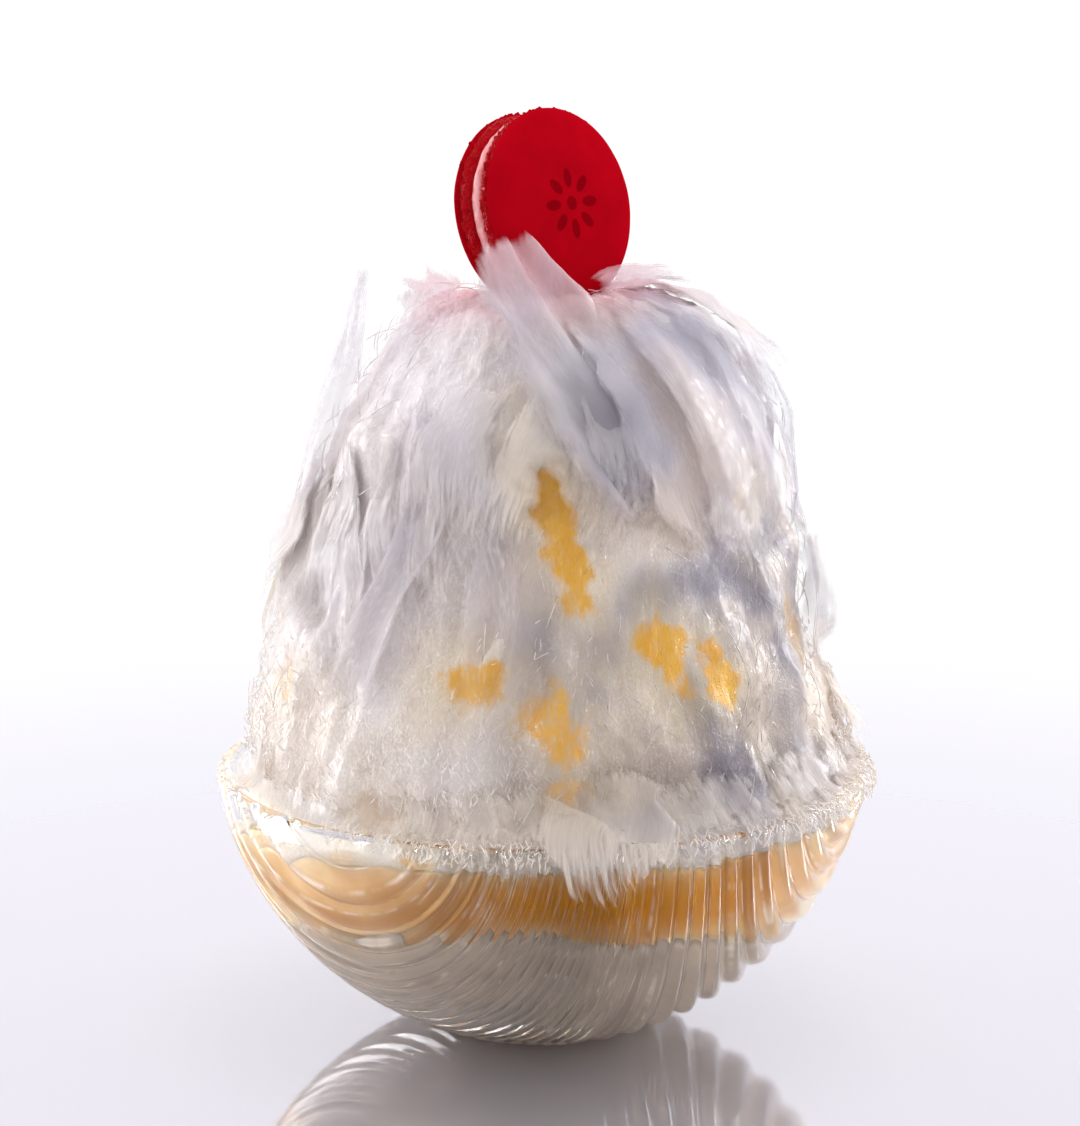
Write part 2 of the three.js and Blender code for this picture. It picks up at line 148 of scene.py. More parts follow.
# Polished pressed glass: clear and hard, with faint waves from the mould that bend what lies
# behind it.
glass, tree = new_material("pressed_soda_lime_glass")
place = node(tree, "ShaderNodeTexCoord", out="Object")
wave = node(tree, "ShaderNodeTexNoise", {
    "Vector": place, "Scale": 1 / (9 * MM), "Detail": 1.0}, "Fac")
bump = node(tree, "ShaderNodeBump", {
    "Height": wave, "Strength": 0.2, "Distance": 0.5 * MM}, "Normal")
surface = node(tree, "ShaderNodeBsdfPrincipled", {
    "Base Color": "FBFDFD", "Roughness": 0.02, "IOR": 1.5, "Transmission Weight": 1.0,
    "Normal": bump}, "BSDF")
node(tree, "ShaderNodeOutputMaterial", {"Surface": surface})


def rib_lines():
    """Angles of lines from the ribs' common point, and how many ribs each is from the middle one:
    to the left they open like a fan, to the right they are evenly spaced round the rim."""
    away = float(np.hypot(*RIB_CENTRE))
    left = np.linspace(-1, 0, 2 * LEFT_RIBS * 8, endpoint=False)
    right = np.linspace(0, math.asin(LAST_CHORD), RIGHT_RIBS * 10 + 1)
    angle = np.concatenate([left * math.asin(LAST_CHORD * BOWL_RADIUS / away),
                            np.arcsin(np.sin(right) * BOWL_RADIUS / away)])
    return angle, np.concatenate([left * LEFT_RIBS * 2, right / (math.pi / 2) * RIGHT_RIBS])


def ribs_at(x, y):
    """How many ribs a place in plan lies to the right of the middle one."""
    angle, ribs = rib_lines()
    to_axis = math.atan2(-RIB_CENTRE[1], -RIB_CENTRE[0])
    return np.interp(to_axis - np.arctan2(y - RIB_CENTRE[1], x - RIB_CENTRE[0]), angle, ribs)


def bowl_mesh():
    steps, lip_rows = 121, 10
    angle, ribs = rib_lines()
    lines = len(angle)
    angle, along = np.meshgrid(angle, np.linspace(-1, 1, steps), indexing="ij")
    away = float(np.hypot(*RIB_CENTRE))
    half = np.sqrt(BOWL_RADIUS ** 2 - (away * np.sin(angle)) ** 2)
    ahead = away * np.cos(angle) + half * np.sin(along * np.pi / 2)
    facing = math.atan2(-RIB_CENTRE[1], -RIB_CENTRE[0]) - angle
    x, y = RIB_CENTRE[0] + ahead * np.cos(facing), RIB_CENTRE[1] + ahead * np.sin(facing)
    radius = np.hypot(x, y)
    z = np.maximum(0, rise(radius, BOWL_RADIUS, BOWL_DEPTH) - BASE_CUT)
    across = np.abs((ribs[:, None] + 0.5) % 1 - 0.5) * 2  # 0 on a ridge, 1 in a valley
    groove = RIB_DEPTH * across ** 1.8 * smoothstep(radius, *RIB_FADE)
    arm = np.stack([x, y, z - RIM_Z], -1)
    length = np.linalg.norm(arm, axis=-1, keepdims=True)
    outer = arm * (1 - groove[..., None] / length) + [0, 0, RIM_Z]
    shrink = INNER_RADIUS / BOWL_RADIUS
    inner = np.stack([x * shrink, y * shrink,
                      FLOOR + rise(radius * shrink, INNER_RADIUS, RIM_Z - FLOOR)], -1)
    # the lip: half a round over the wall's top edge, into which the ribs run out
    order = np.arange(lines * steps).reshape(lines, steps)
    edge = np.concatenate([order[:-1, 0], order[-1, :-1], order[:0:-1, -1], order[0, :0:-1]])
    rim_x, rim_y = x.ravel()[edge], y.ravel()[edge]
    unit = np.stack([rim_x, rim_y], -1) / np.hypot(rim_x, rim_y)[:, None]
    middle, half = BOWL_RADIUS - WALL / 2, WALL / 2
    lip = []
    for k in range(1, lip_rows):
        turn = math.pi * k / lip_rows
        ease = max(0, math.cos(turn)) * groove.ravel()[edge]
        reach = middle + half * math.cos(turn) - ease
        height = np.full(len(edge), RIM_Z + half * math.sin(turn))
        lip.append(np.column_stack([unit * reach[:, None], height]))
    points = np.concatenate([outer.reshape(-1, 3), inner.reshape(-1, 3), *lip])
    count, loop = lines * steps, len(edge)
    faces = [grid_faces(lines, steps), grid_faces(lines, steps, count, flip=True)]
    on_top = [2 * count + k * loop + np.arange(loop) for k in range(lip_rows - 1)]
    rings = [edge, *on_top, edge + count]
    for low, high in zip(rings, rings[1:]):
        faces.append(np.column_stack([low, np.roll(low, -1), np.roll(high, -1), high]))
    return points, np.concatenate(faces)


bowl_points, bowl_faces = bowl_mesh()
bowl = make_piece("bowl_glass", bowl_points, bowl_faces, glass)
stand_for(bowl, "clear_glass", "bowl")

# ---- The cream and the mango sauce ------------------------------------------------------------
# The cup is filled with milky cream at the bottom and thick mango sauce over it. Both lie against
# the glass with no air between, and the sauce ran down between the cream and the glass.

FOOD_RADIUS = INNER_RADIUS + 0.15 * MM  # just into the glass
FOOD_DEPTH = RIM_Z - FLOOR + 0.15 * MM
FOOD_FLOOR = FLOOR - 0.15 * MM
ROUND = 480


def food_wall(radius):
    return FOOD_FLOOR + rise(radius, FOOD_RADIUS, FOOD_DEPTH)


def food_reach(height):
    """Radius of the bowl's inside at a height."""
    risen = np.clip((height - FOOD_FLOOR) / FOOD_DEPTH, 0, 1) * sweep(FOOD_RADIUS, FOOD_RADIUS)
    return (FOOD_RADIUS + FLARE) * np.sqrt(1 - (1 - risen) ** 2)


def left_dip(angle):
    """How far both fillings sink toward the left side."""
    return 6.5 * np.clip(-np.cos(angle), 0, None) ** 1.5


def stepped(angle):
    """The small steps that the ribs leave in the edge of a filling."""
    reach = 0.8 * BOWL_RADIUS
    return 0.7 * np.cos(2 * np.pi * ribs_at(reach * np.cos(angle), reach * np.sin(angle)))


def cream_edge(angle):
    front, sides = -2.7 * np.sin(angle), -2.5 * np.cos(angle) - 2.9 * np.cos(2 * angle)
    ripple = 0.8 * np.sin(7 * angle + 1) + 0.6 * np.sin(11 * angle) + 0.35 * np.sin(29 * angle + 2)
    return (32.9 + front + sides + ripple + stepped(angle) - left_dip(angle)) * MM


def sauce_edge(angle):
    ripple = 0.7 * np.sin(3 * angle + 2) + 0.5 * np.sin(8 * angle) + 0.4 * np.sin(13 * angle)
    return (54.7 + ripple + 0.3 * np.sin(31 * angle) + 0.6 * stepped(angle) - left_dip(angle)) * MM


def round_piece(name, rings, material, **kwargs):
    """A closed round piece from rings of points, whose first and last shrink to one point."""
    first, last = rings[0].mean(0), rings[-1].mean(0)
    body = np.concatenate(rings[1:-1])
    count, inner = ROUND, len(rings) - 2
    points = np.concatenate([[first], body, [last]])
    faces = [tuple(f) for f in grid_faces(inner, count, 1, closed=True)]
    low, high, tip = 1, 1 + (inner - 1) * count, 1 + inner * count
    for i in range(count):
        j = (i + 1) % count
        faces.append((0, low + j, low + i))
        faces.append((tip, high + i, high + j))
    return make_piece(name, points, faces, material, **kwargs)


turn = np.linspace(0, 2 * np.pi, ROUND, endpoint=False)


def ring(radius, height, angle=turn):
    radius, height = np.broadcast_to(radius, angle.shape), np.broadcast_to(height, angle.shape)
    return np.stack([radius * np.cos(angle), radius * np.sin(angle), height], -1)


def layer_rings(low_edge, high_edge):
    """Underside, wall and top of a filling between two wavy edges on the glass."""
    rings = []
    top_reach = food_reach(high_edge(turn))
    if low_edge is None:
        rings += [ring(top_reach * s, food_wall(top_reach * s)) for s in np.linspace(0, 1, 25)]
    else:
        reach = food_reach(low_edge(turn))
        middle = low_edge(turn).mean()
        for s in np.linspace(0, 1, 13):
            rings.append(ring(reach * s, middle + (low_edge(turn) - middle) * s * s - 0.2 * MM))
        for s in np.linspace(0, 1, 12)[1:]:
            height = low_edge(turn) + (high_edge(turn) - low_edge(turn)) * s
            rings.append(ring(food_reach(height), height))
    middle = high_edge(turn).mean()
    for s in np.linspace(1, 0, 13)[1:]:
        rings.append(ring(top_reach * s, middle + (high_edge(turn) - middle) * s * s))
    return rings


def painted_rib_light(tree, colour, valley_shade):
    """A colour as if seen through the ribbed glass, with light painted on: painted shade, deeper
    behind the valleys, and a broken painted highlight beside each, where the rib would gather the
    room's light."""
    ribs = node(tree, "ShaderNodeAttribute", out="Fac", attribute_name="ribs")
    phase = node(tree, "ShaderNodeMath", (ribs, 0.5), 0, operation="PINGPONG")
    # painted shade behind each valley
    depth = node(tree, "ShaderNodeMapRange", (phase, 0.2, 0.5, 0.0, 0.6), 0)
    shaded = node(tree, "ShaderNodeMix", {0: depth, 6: colour, 7: valley_shade}, 2, data_type="RGBA")
    beside = node(tree, "ShaderNodeMath", (phase, 0.33), 0, operation="SUBTRACT")
    beside = node(tree, "ShaderNodeMath", (beside,), 0, operation="ABSOLUTE")
    # painted highlight: a broken bright line beside each valley
    glint_line = node(tree, "ShaderNodeMapRange", (beside, 0.0, 0.07, 1.0, 0.0), 0)
    place = node(tree, "ShaderNodeTexCoord", out="Object")
    spot = node(tree, "ShaderNodeTexNoise", {
        "Vector": place, "Scale": 1 / (7 * MM), "Detail": 2.0}, "Fac")
    broken = node(tree, "ShaderNodeMapRange", (spot, 0.42, 0.6, 0.0, 0.6), 0)
    amount = node(tree, "ShaderNodeMath", (glint_line, broken), 0, operation="MULTIPLY")
    return node(tree, "ShaderNodeMix", {0: amount, 6: shaded, 7: "FFF6EA"}, 2, data_type="RGBA")


# Set cream: milky and soft, slightly uneven in tone, so it takes the light without a sharp shine.
# Its warm grey is darker than the milky cream itself: its own colour with painted shade.
cream, tree = new_material("milk_cream")
place = node(tree, "ShaderNodeTexCoord", out="Object")
cloud = node(tree, "ShaderNodeTexNoise", {
    "Vector": place, "Scale": 1 / (12 * MM), "Detail": 4.0}, "Fac")
tone = node(tree, "ShaderNodeMix", {0: cloud, 6: "A49484", 7: "D0BEAC"}, 2, data_type="RGBA")
bump = node(tree, "ShaderNodeBump", {
    "Height": cloud, "Strength": 0.3, "Distance": 1 * MM}, "Normal")
# the cream's colour carries painted shade behind the glass's valleys and painted highlights beside
# them
surface = node(tree, "ShaderNodeBsdfPrincipled", {
    "Base Color": painted_rib_light(tree, tone, "8E7C70"), "Roughness": 0.4, "IOR": 1.35,
    "Subsurface Weight": 0.4, "Subsurface Scale": 3 * MM, "Subsurface Radius": (1.0, 0.85, 0.7),
    "Normal": bump}, "BSDF")
node(tree, "ShaderNodeOutputMaterial", {"Surface": surface})

# Mango sauce: thick, glossy and clear enough to glow, deeper in tone where it is thick.
mango, tree = new_material("mango_sauce")
place = node(tree, "ShaderNodeTexCoord", out="Object")
cloud = node(tree, "ShaderNodeTexNoise", {
    "Vector": place, "Scale": 1 / (16 * MM), "Detail": 3.0}, "Fac")
tone = node(tree, "ShaderNodeMix", {0: cloud, 6: "AA6200", 7: "E09800"}, 2, data_type="RGBA")
# the sauce is paled toward milk: milk near the layer edges, painted light at the sides
milk = node(tree, "ShaderNodeAttribute", out="Fac", attribute_name="milk")
mixed_in = node(tree, "ShaderNodeMath", (milk, cloud), 0, operation="MULTIPLY")
tone = node(tree, "ShaderNodeMix", {0: mixed_in, 6: tone, 7: "F0E0BE"}, 2, data_type="RGBA")
bump = node(tree, "ShaderNodeBump", {
    "Height": cloud, "Strength": 0.4, "Distance": 1 * MM}, "Normal")
# the sauce's colour carries painted shade behind the glass's valleys and painted highlights beside
# them
surface = node(tree, "ShaderNodeBsdfPrincipled", {
    "Base Color": painted_rib_light(tree, tone, "8C5200"), "Roughness": 0.3, "IOR": 1.4,
    "Specular IOR Level": 0.15, "Subsurface Weight": 0.25, "Subsurface Scale": 5 * MM,
    "Subsurface Radius": (1.0, 0.55, 0.12), "Normal": bump}, "BSDF")
node(tree, "ShaderNodeOutputMaterial", {"Surface": surface})


def ribs_on(rings):
    """The count of ribs across the bowl at each point of a round piece."""
    points = np.concatenate([rings[0][:1], *rings[1:-1], rings[-1][:1]])
    return ribs_at(points[:, 0], points[:, 1])


cream_rings = layer_rings(None, cream_edge)
cream_piece = round_piece("cream_filling", cream_rings, cream, ribs=ribs_on(cream_rings))
stand_for(cream_piece, "cream", "cream_layer")
sauce_rings = layer_rings(cream_edge, sauce_edge)
wall_share = [np.clip((r[:, 2] - cream_edge(turn)) / (sauce_edge(turn) - cream_edge(turn)), 0, 1)
              for r in sauce_rings]
# milk mixes into the sauce near both edges; at the sides the sauce is paled more, as painted light
# where the light from behind shines through the glass
beside = 1.2 * np.clip(-np.cos(turn), 0, 1) + 1.6 * np.clip(np.cos(turn), 0, 1) ** 5
milk = [0.8 * np.abs(2 * w - 1) ** 3 + beside for w in wall_share]
milk = np.concatenate([[milk[0].mean()], *milk[1:-1], [milk[-1].mean()]])
sauce = round_piece("mango_filling", sauce_rings, mango, milk=milk, ribs=ribs_on(sauce_rings))
stand_for(sauce, "mango_sauce", "mango_layer")

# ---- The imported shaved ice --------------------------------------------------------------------
# Ice shaved into thin flakes and heaped in layers with mango syrup between. This is the packed
# inside of the mound: it fills the bowl to the rim, and its syrup shows where the flakes part.

MOUND = np.array([  # height, half width to the left, to the right, and to the front and back
    (57, 65.5, 70, 69.5), (66, 64, 68.5, 68), (76, 63.5, 66, 65.5), (92, 62, 60.5, 60.5),
    (110, 57.5, 58.5, 55.5), (127, 51.5, 54.5, 51), (141, 46.5, 52.5, 47.5), (150, 40, 48.5, 41.5),
    (158, 33, 43.5, 35.5), (164, 26.5, 37, 28.75), (167, 17, 26, 18), (168, 0, 0, 0)]) * MM
CORE_INSET = 2.5 * MM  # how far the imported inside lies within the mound's outline
CORE_ROWS = 160
FREE_LIP = 5 * MM  # how far below its rim the ice leaves the glass on the left

# Where syrup shows: direction seen from above in degrees, height, half width, half height, lean
# to the right per height, strength. The front is at -90 degrees.
SYRUP = [
    (-86, 122.6, 5.5, 15, -0.3, 1.0), (-63, 96.4, 5, 8.5, -0.2, 1.0), (-50, 91.3, 5, 7, -0.4, 1.0),
    (-105, 91.3, 8, 5.5, 0.3, 0.9), (-88, 83.3, 8, 8, -0.4, 0.7), (-84, 70, 7, 3.5, 0, 0.5),
    (-122, 63.5, 5, 4, 0, 0.5), (-34, 126, 5, 9, -0.2, 0.45), (-18, 96, 4, 9, -0.2, 0.45),
    (25, 104, 6, 11, 0.2, 0.8), (62, 88, 7, 7, 0, 0.9), (95, 118, 5, 13, -0.2, 0.8),
    (128, 78, 8, 6, 0.2, 0.8), (165, 100, 5, 9, 0.1, 0.6), (200, 84, 6, 6, 0, 0.5),
    (-152, 50, 9, 4, 0, 0.45), (-128, 53, 7, 3, 0.3, 0.5), (-112, 55, 4, 2.5, 0, 0.6),
    (170, 50, 9, 4, 0, 0.5)]
GLOW_SPREAD = 2.2  # how much wider than itself a patch of syrup tints the ice over it


def mound_radius(height, angle):
    left, right, front = (np.interp(height, MOUND[:, 0], MOUND[:, i]) for i in (1, 2, 3))
    return front + np.where(np.cos(angle) < 0, left - front, right - front) * np.cos(angle) ** 2


def fractal(points, size, octaves=3, shift=0.0):
    """Soft noise of about -1..1 at points, with features of a size in metres."""
    moved = Vector((shift, shift, shift))
    values = [noise.fractal(Vector(p) / size + moved, 0.8, 2.1, octaves)
              for p in np.asarray(points).reshape(-1, 3)]
    return np.array(values).reshape(np.shape(points)[:-1])


def unit(vectors):
    return vectors / np.maximum(np.linalg.norm(vectors, axis=-1, keepdims=True), 1e-12)


def swell(points):
    """Points of the mound's plain form moved out and in by its lumps."""
    low = MOUND[0, 0]
    lump = 3.4 * fractal(points, 27 * MM, 2) + 2.2 * fractal(points * [1, 1, 0.5], 11 * MM, 2, 3.0)
    ease = smoothstep(points[..., 2], low, low + 10 * MM)
    return points + unit(points - [0, 0, 60 * MM]) * (lump * MM * ease)[..., None]


def syrup_at(points, spread=1.0):
    """How far syrup shows at points of the mound, 0 to 1; spread widens its patches."""
    angle = np.degrees(np.arctan2(points[:, 1], points[:, 0]))
    radius = np.hypot(points[:, 0], points[:, 1])
    rag = fractal(points, 7 * MM, 3, 5.0)
    total = np.zeros(len(points))
    for direction, height, half_width, half_height, lean, strength in SYRUP:
        off = (angle - direction + 180) % 360 - 180
        up = (points[:, 2] / MM - height) / half_height / spread
        side = np.radians(off) * radius / MM / half_width / spread
        side = side - lean * up * half_height / half_width
        inside = 1.35 - np.sqrt(side ** 2 + up ** 2) + 0.55 * rag / spread
        total = np.maximum(total, strength * smoothstep(inside, 0, 0.8 if spread == 1 else 1.0))
    return total


def core_mesh():
    rings = []
    reach = food_reach(sauce_edge(turn))
    middle = sauce_edge(turn).mean()
    for s in np.linspace(0, 1, 16):
        rings.append(ring(reach * s, middle + (sauce_edge(turn) - middle) * s * s - 0.2 * MM))
    leaves = MOUND[0, 0] - FREE_LIP * np.clip(-np.cos(turn), 0, 1)
    for s in (0.35, 0.7, 1):
        height = sauce_edge(turn) + (leaves - sauce_edge(turn)) * s
        rings.append(ring(food_reach(height), height))
    low, high = MOUND[0, 0], MOUND[-1, 0]
    for s in np.linspace(0, 1, CORE_ROWS)[1:]:
        # the rows lie closer toward the top
        height = leaves + (high - leaves) * math.sin(s * math.pi / 2) ** 0.9
        inset = CORE_INSET * smoothstep(height, low, low + 14 * MM)
        flat = ring(mound_radius(height, turn) - inset, height)
        if s < 1:
            crumb = 0.5 * fractal(flat, 2.2 * MM, 2, 9.0) * MM
            crumb = crumb * smoothstep(height, low, low + 6 * MM)
            flat = swell(flat) + unit(flat - [0, 0, 60 * MM]) * crumb[:, None]
        rings.append(flat)
    return rings


core_rings = core_mesh()
core_points = np.concatenate([[core_rings[0].mean(0)], *core_rings[1:-1], [core_rings[-1].mean(0)]])
core_angle = np.arctan2(core_points[:, 1], core_points[:, 0])
core_grain = np.column_stack([
    np.cos(core_angle) * 60, np.sin(core_angle) * 60, core_points[:, 2] / MM])


# the amount of its wet tints also sets its painted shade
def ice_material(name, white, shade, gloss, opacity=None, lengthwise="Y", specks=0.9, fray=1.1,
                 relief=0.4, silky=1.0, shine=0.25, wet_and_shade_amount=1.0, behind_glass=False):
    """Shaved ice: silky fibres along the grain field, milky or clear as the frost field says, with
    syrup where that field says. With an opacity it frays out where the edge field is low."""
    material, tree = new_material(name)
    grain = node(tree, "ShaderNodeAttribute", out="Vector", attribute_name="grain")
    broad, syrup, glow, frost, cloud = [
        node(tree, "ShaderNodeAttribute", out="Fac", attribute_name=label)
        for label in ("broad", "syrup", "glow", "frost", "cloud")]
    place = node(tree, "ShaderNodeTexCoord", out="Object")
    x, _, z = node(tree, "ShaderNodeSeparateXYZ", (place,)).outputs
    eased = {"interpolation_type": "SMOOTHSTEP"}

    # threads drawn out along the grain: width in millimetres, how many times as long, and detail
    threads = []
    for width, long, detail in ((0.45, 4 * silky, 0.0), (1.0, 8 * silky, 1.0)):
        across, along = 1 / width, 1 / width / long
        stretch = (across, along, across) if lengthwise == "Y" else (across, across, along)
        lie = node(tree, "ShaderNodeMapping", {"Vector": grain, "Scale": stretch}, "Vector")
        threads.append(node(tree, "ShaderNodeTexNoise", {
            "Vector": lie, "Scale": 1.0, "Detail": detail, "Roughness": 0.6}, "Fac"))
    fine, coarse = threads
    # white grains along the threads: whiter frost, partly painted glints mixed into the colour
    bright = node(tree, "ShaderNodeMapRange", (fine, 0.54, 0.66), 0, **eased)
    bundled = node(tree, "ShaderNodeMapRange", (broad, 0.4, 0.56, 0.3, 1.0), 0, **eased)
    grains = node(tree, "ShaderNodeMath", (bright, bundled), 0, operation="MULTIPLY")
    white_grains_and_glints = node(tree, "ShaderNodeMath", (grains, specks), 0, operation="MULTIPLY")
    streak = node(tree, "ShaderNodeMath", (broad, 0.45), 0, operation="MULTIPLY")
    for thread, share in ((coarse, 0.3), (fine, 0.25)):
        streak = node(tree, "ShaderNodeMath", (thread, share, streak), 0, operation="MULTIPLY_ADD")
    streak = node(tree, "ShaderNodeMapRange", (streak, 0.36, 0.64), 0, **eased)
    milky = node(tree, "ShaderNodeMath", (frost, 0.45), 0, operation="MULTIPLY")
    lit = node(tree, "ShaderNodeMath", (streak, 0.55, milky), 0, operation="MULTIPLY_ADD")

    # height: darker and warmer low down, and cooler toward the top
    up = node(tree, "ShaderNodeMath", (z, 5.0, cloud), 0, operation="MULTIPLY_ADD")
    up = node(tree, "ShaderNodeMapRange", (up, 0.75, 1.35), 0, **eased)
    by_height = node(tree, "ShaderNodeMix", {0: up, 6: "F6ECE0", 7: "F4EEF0"}, 2, data_type="RGBA")
    # where it is wet and clear it is beige on the left and amber on the right; the blue grey on the
    # right, heaviest in a band right of the middle, is painted shade on the side away from the key
    # light
    right = node(tree, "ShaderNodeMapRange", (x, -20 * MM, 30 * MM), 0, **eased)
    sides = [node(tree, "ShaderNodeMapRange", (x, start * MM, full * MM), 0, **eased)
             for start, full in ((-22, 12), (72, 45))]
    right_shade_band = node(tree, "ShaderNodeMath", sides, 0, operation="MULTIPLY")
    wet_and_shade = node(tree, "ShaderNodeMapRange", (cloud, 0.42, 0.64), 0, **eased)
    more_wet_and_shade = node(tree, "ShaderNodeMath", (right_shade_band, 0.33 * wet_and_shade_amount, 0.3 * wet_and_shade_amount), 0,
                  operation="MULTIPLY_ADD")
    wet_and_shade = node(tree, "ShaderNodeMath", (wet_and_shade, more_wet_and_shade), 0, operation="MULTIPLY")
    wet_and_shade_colour = node(tree, "ShaderNodeMix", {
        0: right, 6: "F0EAE6", 7: "B2B2C2"}, 2, data_type="RGBA")
    amber = node(tree, "ShaderNodeMapRange", (cloud, 0.5, 0.38, 0.0, 0.16 * wet_and_shade_amount), 0, **eased)
    amber = node(tree, "ShaderNodeMath", (amber, right), 0, operation="MULTIPLY")
    # right of the middle, low down, painted shade: a grey laid over the ice where it lies in shade,
    # fading out toward the lip
    low = node(tree, "ShaderNodeMath", (z, -5.0, cloud), 0, operation="MULTIPLY_ADD")
    low = node(tree, "ShaderNodeMapRange", (low, -0.25, 0.2), 0, **eased)
    above_lip = node(tree, "ShaderNodeMapRange", (
        z, 59 * MM, 68 * MM, 0.0, 0.85 * wet_and_shade_amount), 0, **eased)
    low_right_shade = node(tree, "ShaderNodeMath", (low, above_lip), 0, operation="MULTIPLY")
    low_right_shade = node(tree, "ShaderNodeMath", (right_shade_band, low_right_shade), 0, operation="MULTIPLY")
    # the ice is tinted pink round the macaron's foot, and syrup glows through it
    near = node(tree, "ShaderNodeVectorMath", (place, (0, 0, 185 * MM)), "Value",
                operation="DISTANCE")
    pink_round_foot = node(tree, "ShaderNodeMapRange", (near, 44 * MM, 20 * MM, 0.0, 0.5), 0, **eased)
    warmth = node(tree, "ShaderNodeMath", (glow, 0.42), 0, operation="MULTIPLY")
    # threads of ice lie over the syrup
    bare = node(tree, "ShaderNodeMath", (coarse, -1.2, 1.6), 0, operation="MULTIPLY_ADD")
    shows = node(tree, "ShaderNodeMath", (syrup, bare), 0, operation="MULTIPLY")
    shows = node(tree, "ShaderNodeMapRange", (shows, 0.08, 0.98, 0.0, 0.94), 0, **eased)
    syrup_colour = node(tree, "ShaderNodeMix", {
        0: broad, 6: "DC9414", 7: "F4C048"}, 2, data_type="RGBA")

    colour = node(tree, "ShaderNodeMix", {0: lit, 6: shade, 7: white}, 2, data_type="RGBA")
    # of these tints the blue grey on the right and the grey low on the right are painted shade, and
    # the white specks are partly painted glints
    for amount, over, how in (
            (white_grains_and_glints, "FFFFFF", "MIX"), (1.0, by_height, "MULTIPLY"), (wet_and_shade, wet_and_shade_colour, "MIX"),
            (amber, "D2B48C", "MIX"), (low_right_shade, "9E969A", "MULTIPLY"), (pink_round_foot, "F2A8AE", "MIX"),
            (warmth, "F0DCB0", "MIX"), (shows, syrup_colour, "MIX")):
        colour = node(tree, "ShaderNodeMix", {0: amount, 6: colour, 7: over}, 2, data_type="RGBA",
                      blend_type=how)
    # below the rim the ice's colour carries the painted shade and highlights of the ribbed glass in
    # front
    if behind_glass:
        below_rim = node(tree, "ShaderNodeMapRange", (z, 59 * MM, 57 * MM), 0, **eased)
        colour = node(tree, "ShaderNodeMix", {
            0: below_rim, 6: colour, 7: painted_rib_light(tree, colour, "C8B49C")}, 2, data_type="RGBA")

    height = node(tree, "ShaderNodeMath", (grains, 0.4, coarse), 0, operation="MULTIPLY_ADD")
    finish = {
        "Base Color": colour, "IOR": 1.31, "Specular IOR Level": shine,
        "Roughness": node(tree, "ShaderNodeMapRange", (
            fine, 0.4, 0.62, gloss + 0.3, gloss), 0, **eased),
        "Normal": node(tree, "ShaderNodeBump", {
            "Height": height, "Strength": 0.6, "Distance": relief * MM}, "Normal")}
    if opacity is not None:
        edge, parted = [node(tree, "ShaderNodeAttribute", out="Fac", attribute_name=label)
                        for label in ("edge", "parted")]
        torn = node(tree, "ShaderNodeMath", (coarse, 0.5), 0, operation="SUBTRACT")
        torn = node(tree, "ShaderNodeMath", (torn, fray, edge), 0, operation="MULTIPLY_ADD")
        solid = node(tree, "ShaderNodeMapRange", (torn, 0.05, 0.8, 0.0, opacity), 0, **eased)
        bundled = node(tree, "ShaderNodeMapRange", (broad, 0.3, 0.6), 0, **eased)
        for field, slope, start in ((bundled, 0.35, 0.65), (parted, -1.2, 1.0), (frost, 0.4, 0.6)):
            share = node(tree, "ShaderNodeMath", (field, slope, start), 0, operation="MULTIPLY_ADD",
                         use_clamp=True)
            solid = node(tree, "ShaderNodeMath", (solid, share), 0, operation="MULTIPLY",
                         use_clamp=True)
        finish["Alpha"] = solid
    surface = node(tree, "ShaderNodeBsdfPrincipled", finish, "BSDF")
    node(tree, "ShaderNodeOutputMaterial", {"Surface": surface})
    return material


def clouds(points):
    """Slow changes in how wet the ice is, 0 to 1."""
    return 0.5 + 0.32 * fractal(points, 22 * MM, 2)


def broad_fibres(grain, stretch):
    """Bundles of threads, 0 to 1, by the grain in mm and how far they are drawn out each way."""
    return 0.5 + 0.4 * fractal(grain / stretch, 1.0, 1)


# Packed ice: close milky crumb, combed downwards by the falling flakes, so its light is soft.
packed_ice = ice_material("packed_shaved_ice", "FBFAFA", "D8D4D4", 0.26, lengthwise="Z", relief=0.3,
                          silky=0.35, behind_glass=True)
core = round_piece("ice_core", core_rings, packed_ice, grain=core_grain, ribs=ribs_on(core_rings),
                   syrup=syrup_at(core_points), cloud=clouds(core_points),
                   broad=broad_fibres(core_grain, [6, 6, 18]),
                   glow=syrup_at(core_points, GLOW_SPREAD),
                   frost=0.5 + 0.5 * fractal(core_points, 12 * MM, 2, 7.0))
stand_for(core, "shaved_ice", "shaved_ice")

# ---- The large veils of ice -------------------------------------------------------------------
# The blade takes the ice off in wide thin veils, which fold as they fall and drape over the mound.
# Each is a thin closed sheet along its own spine, with folds, torn edges and frayed ends.

VEIL_THICK, DRAPE_THICK = 0.45 * MM, 0.4 * MM
DRAPES = 74

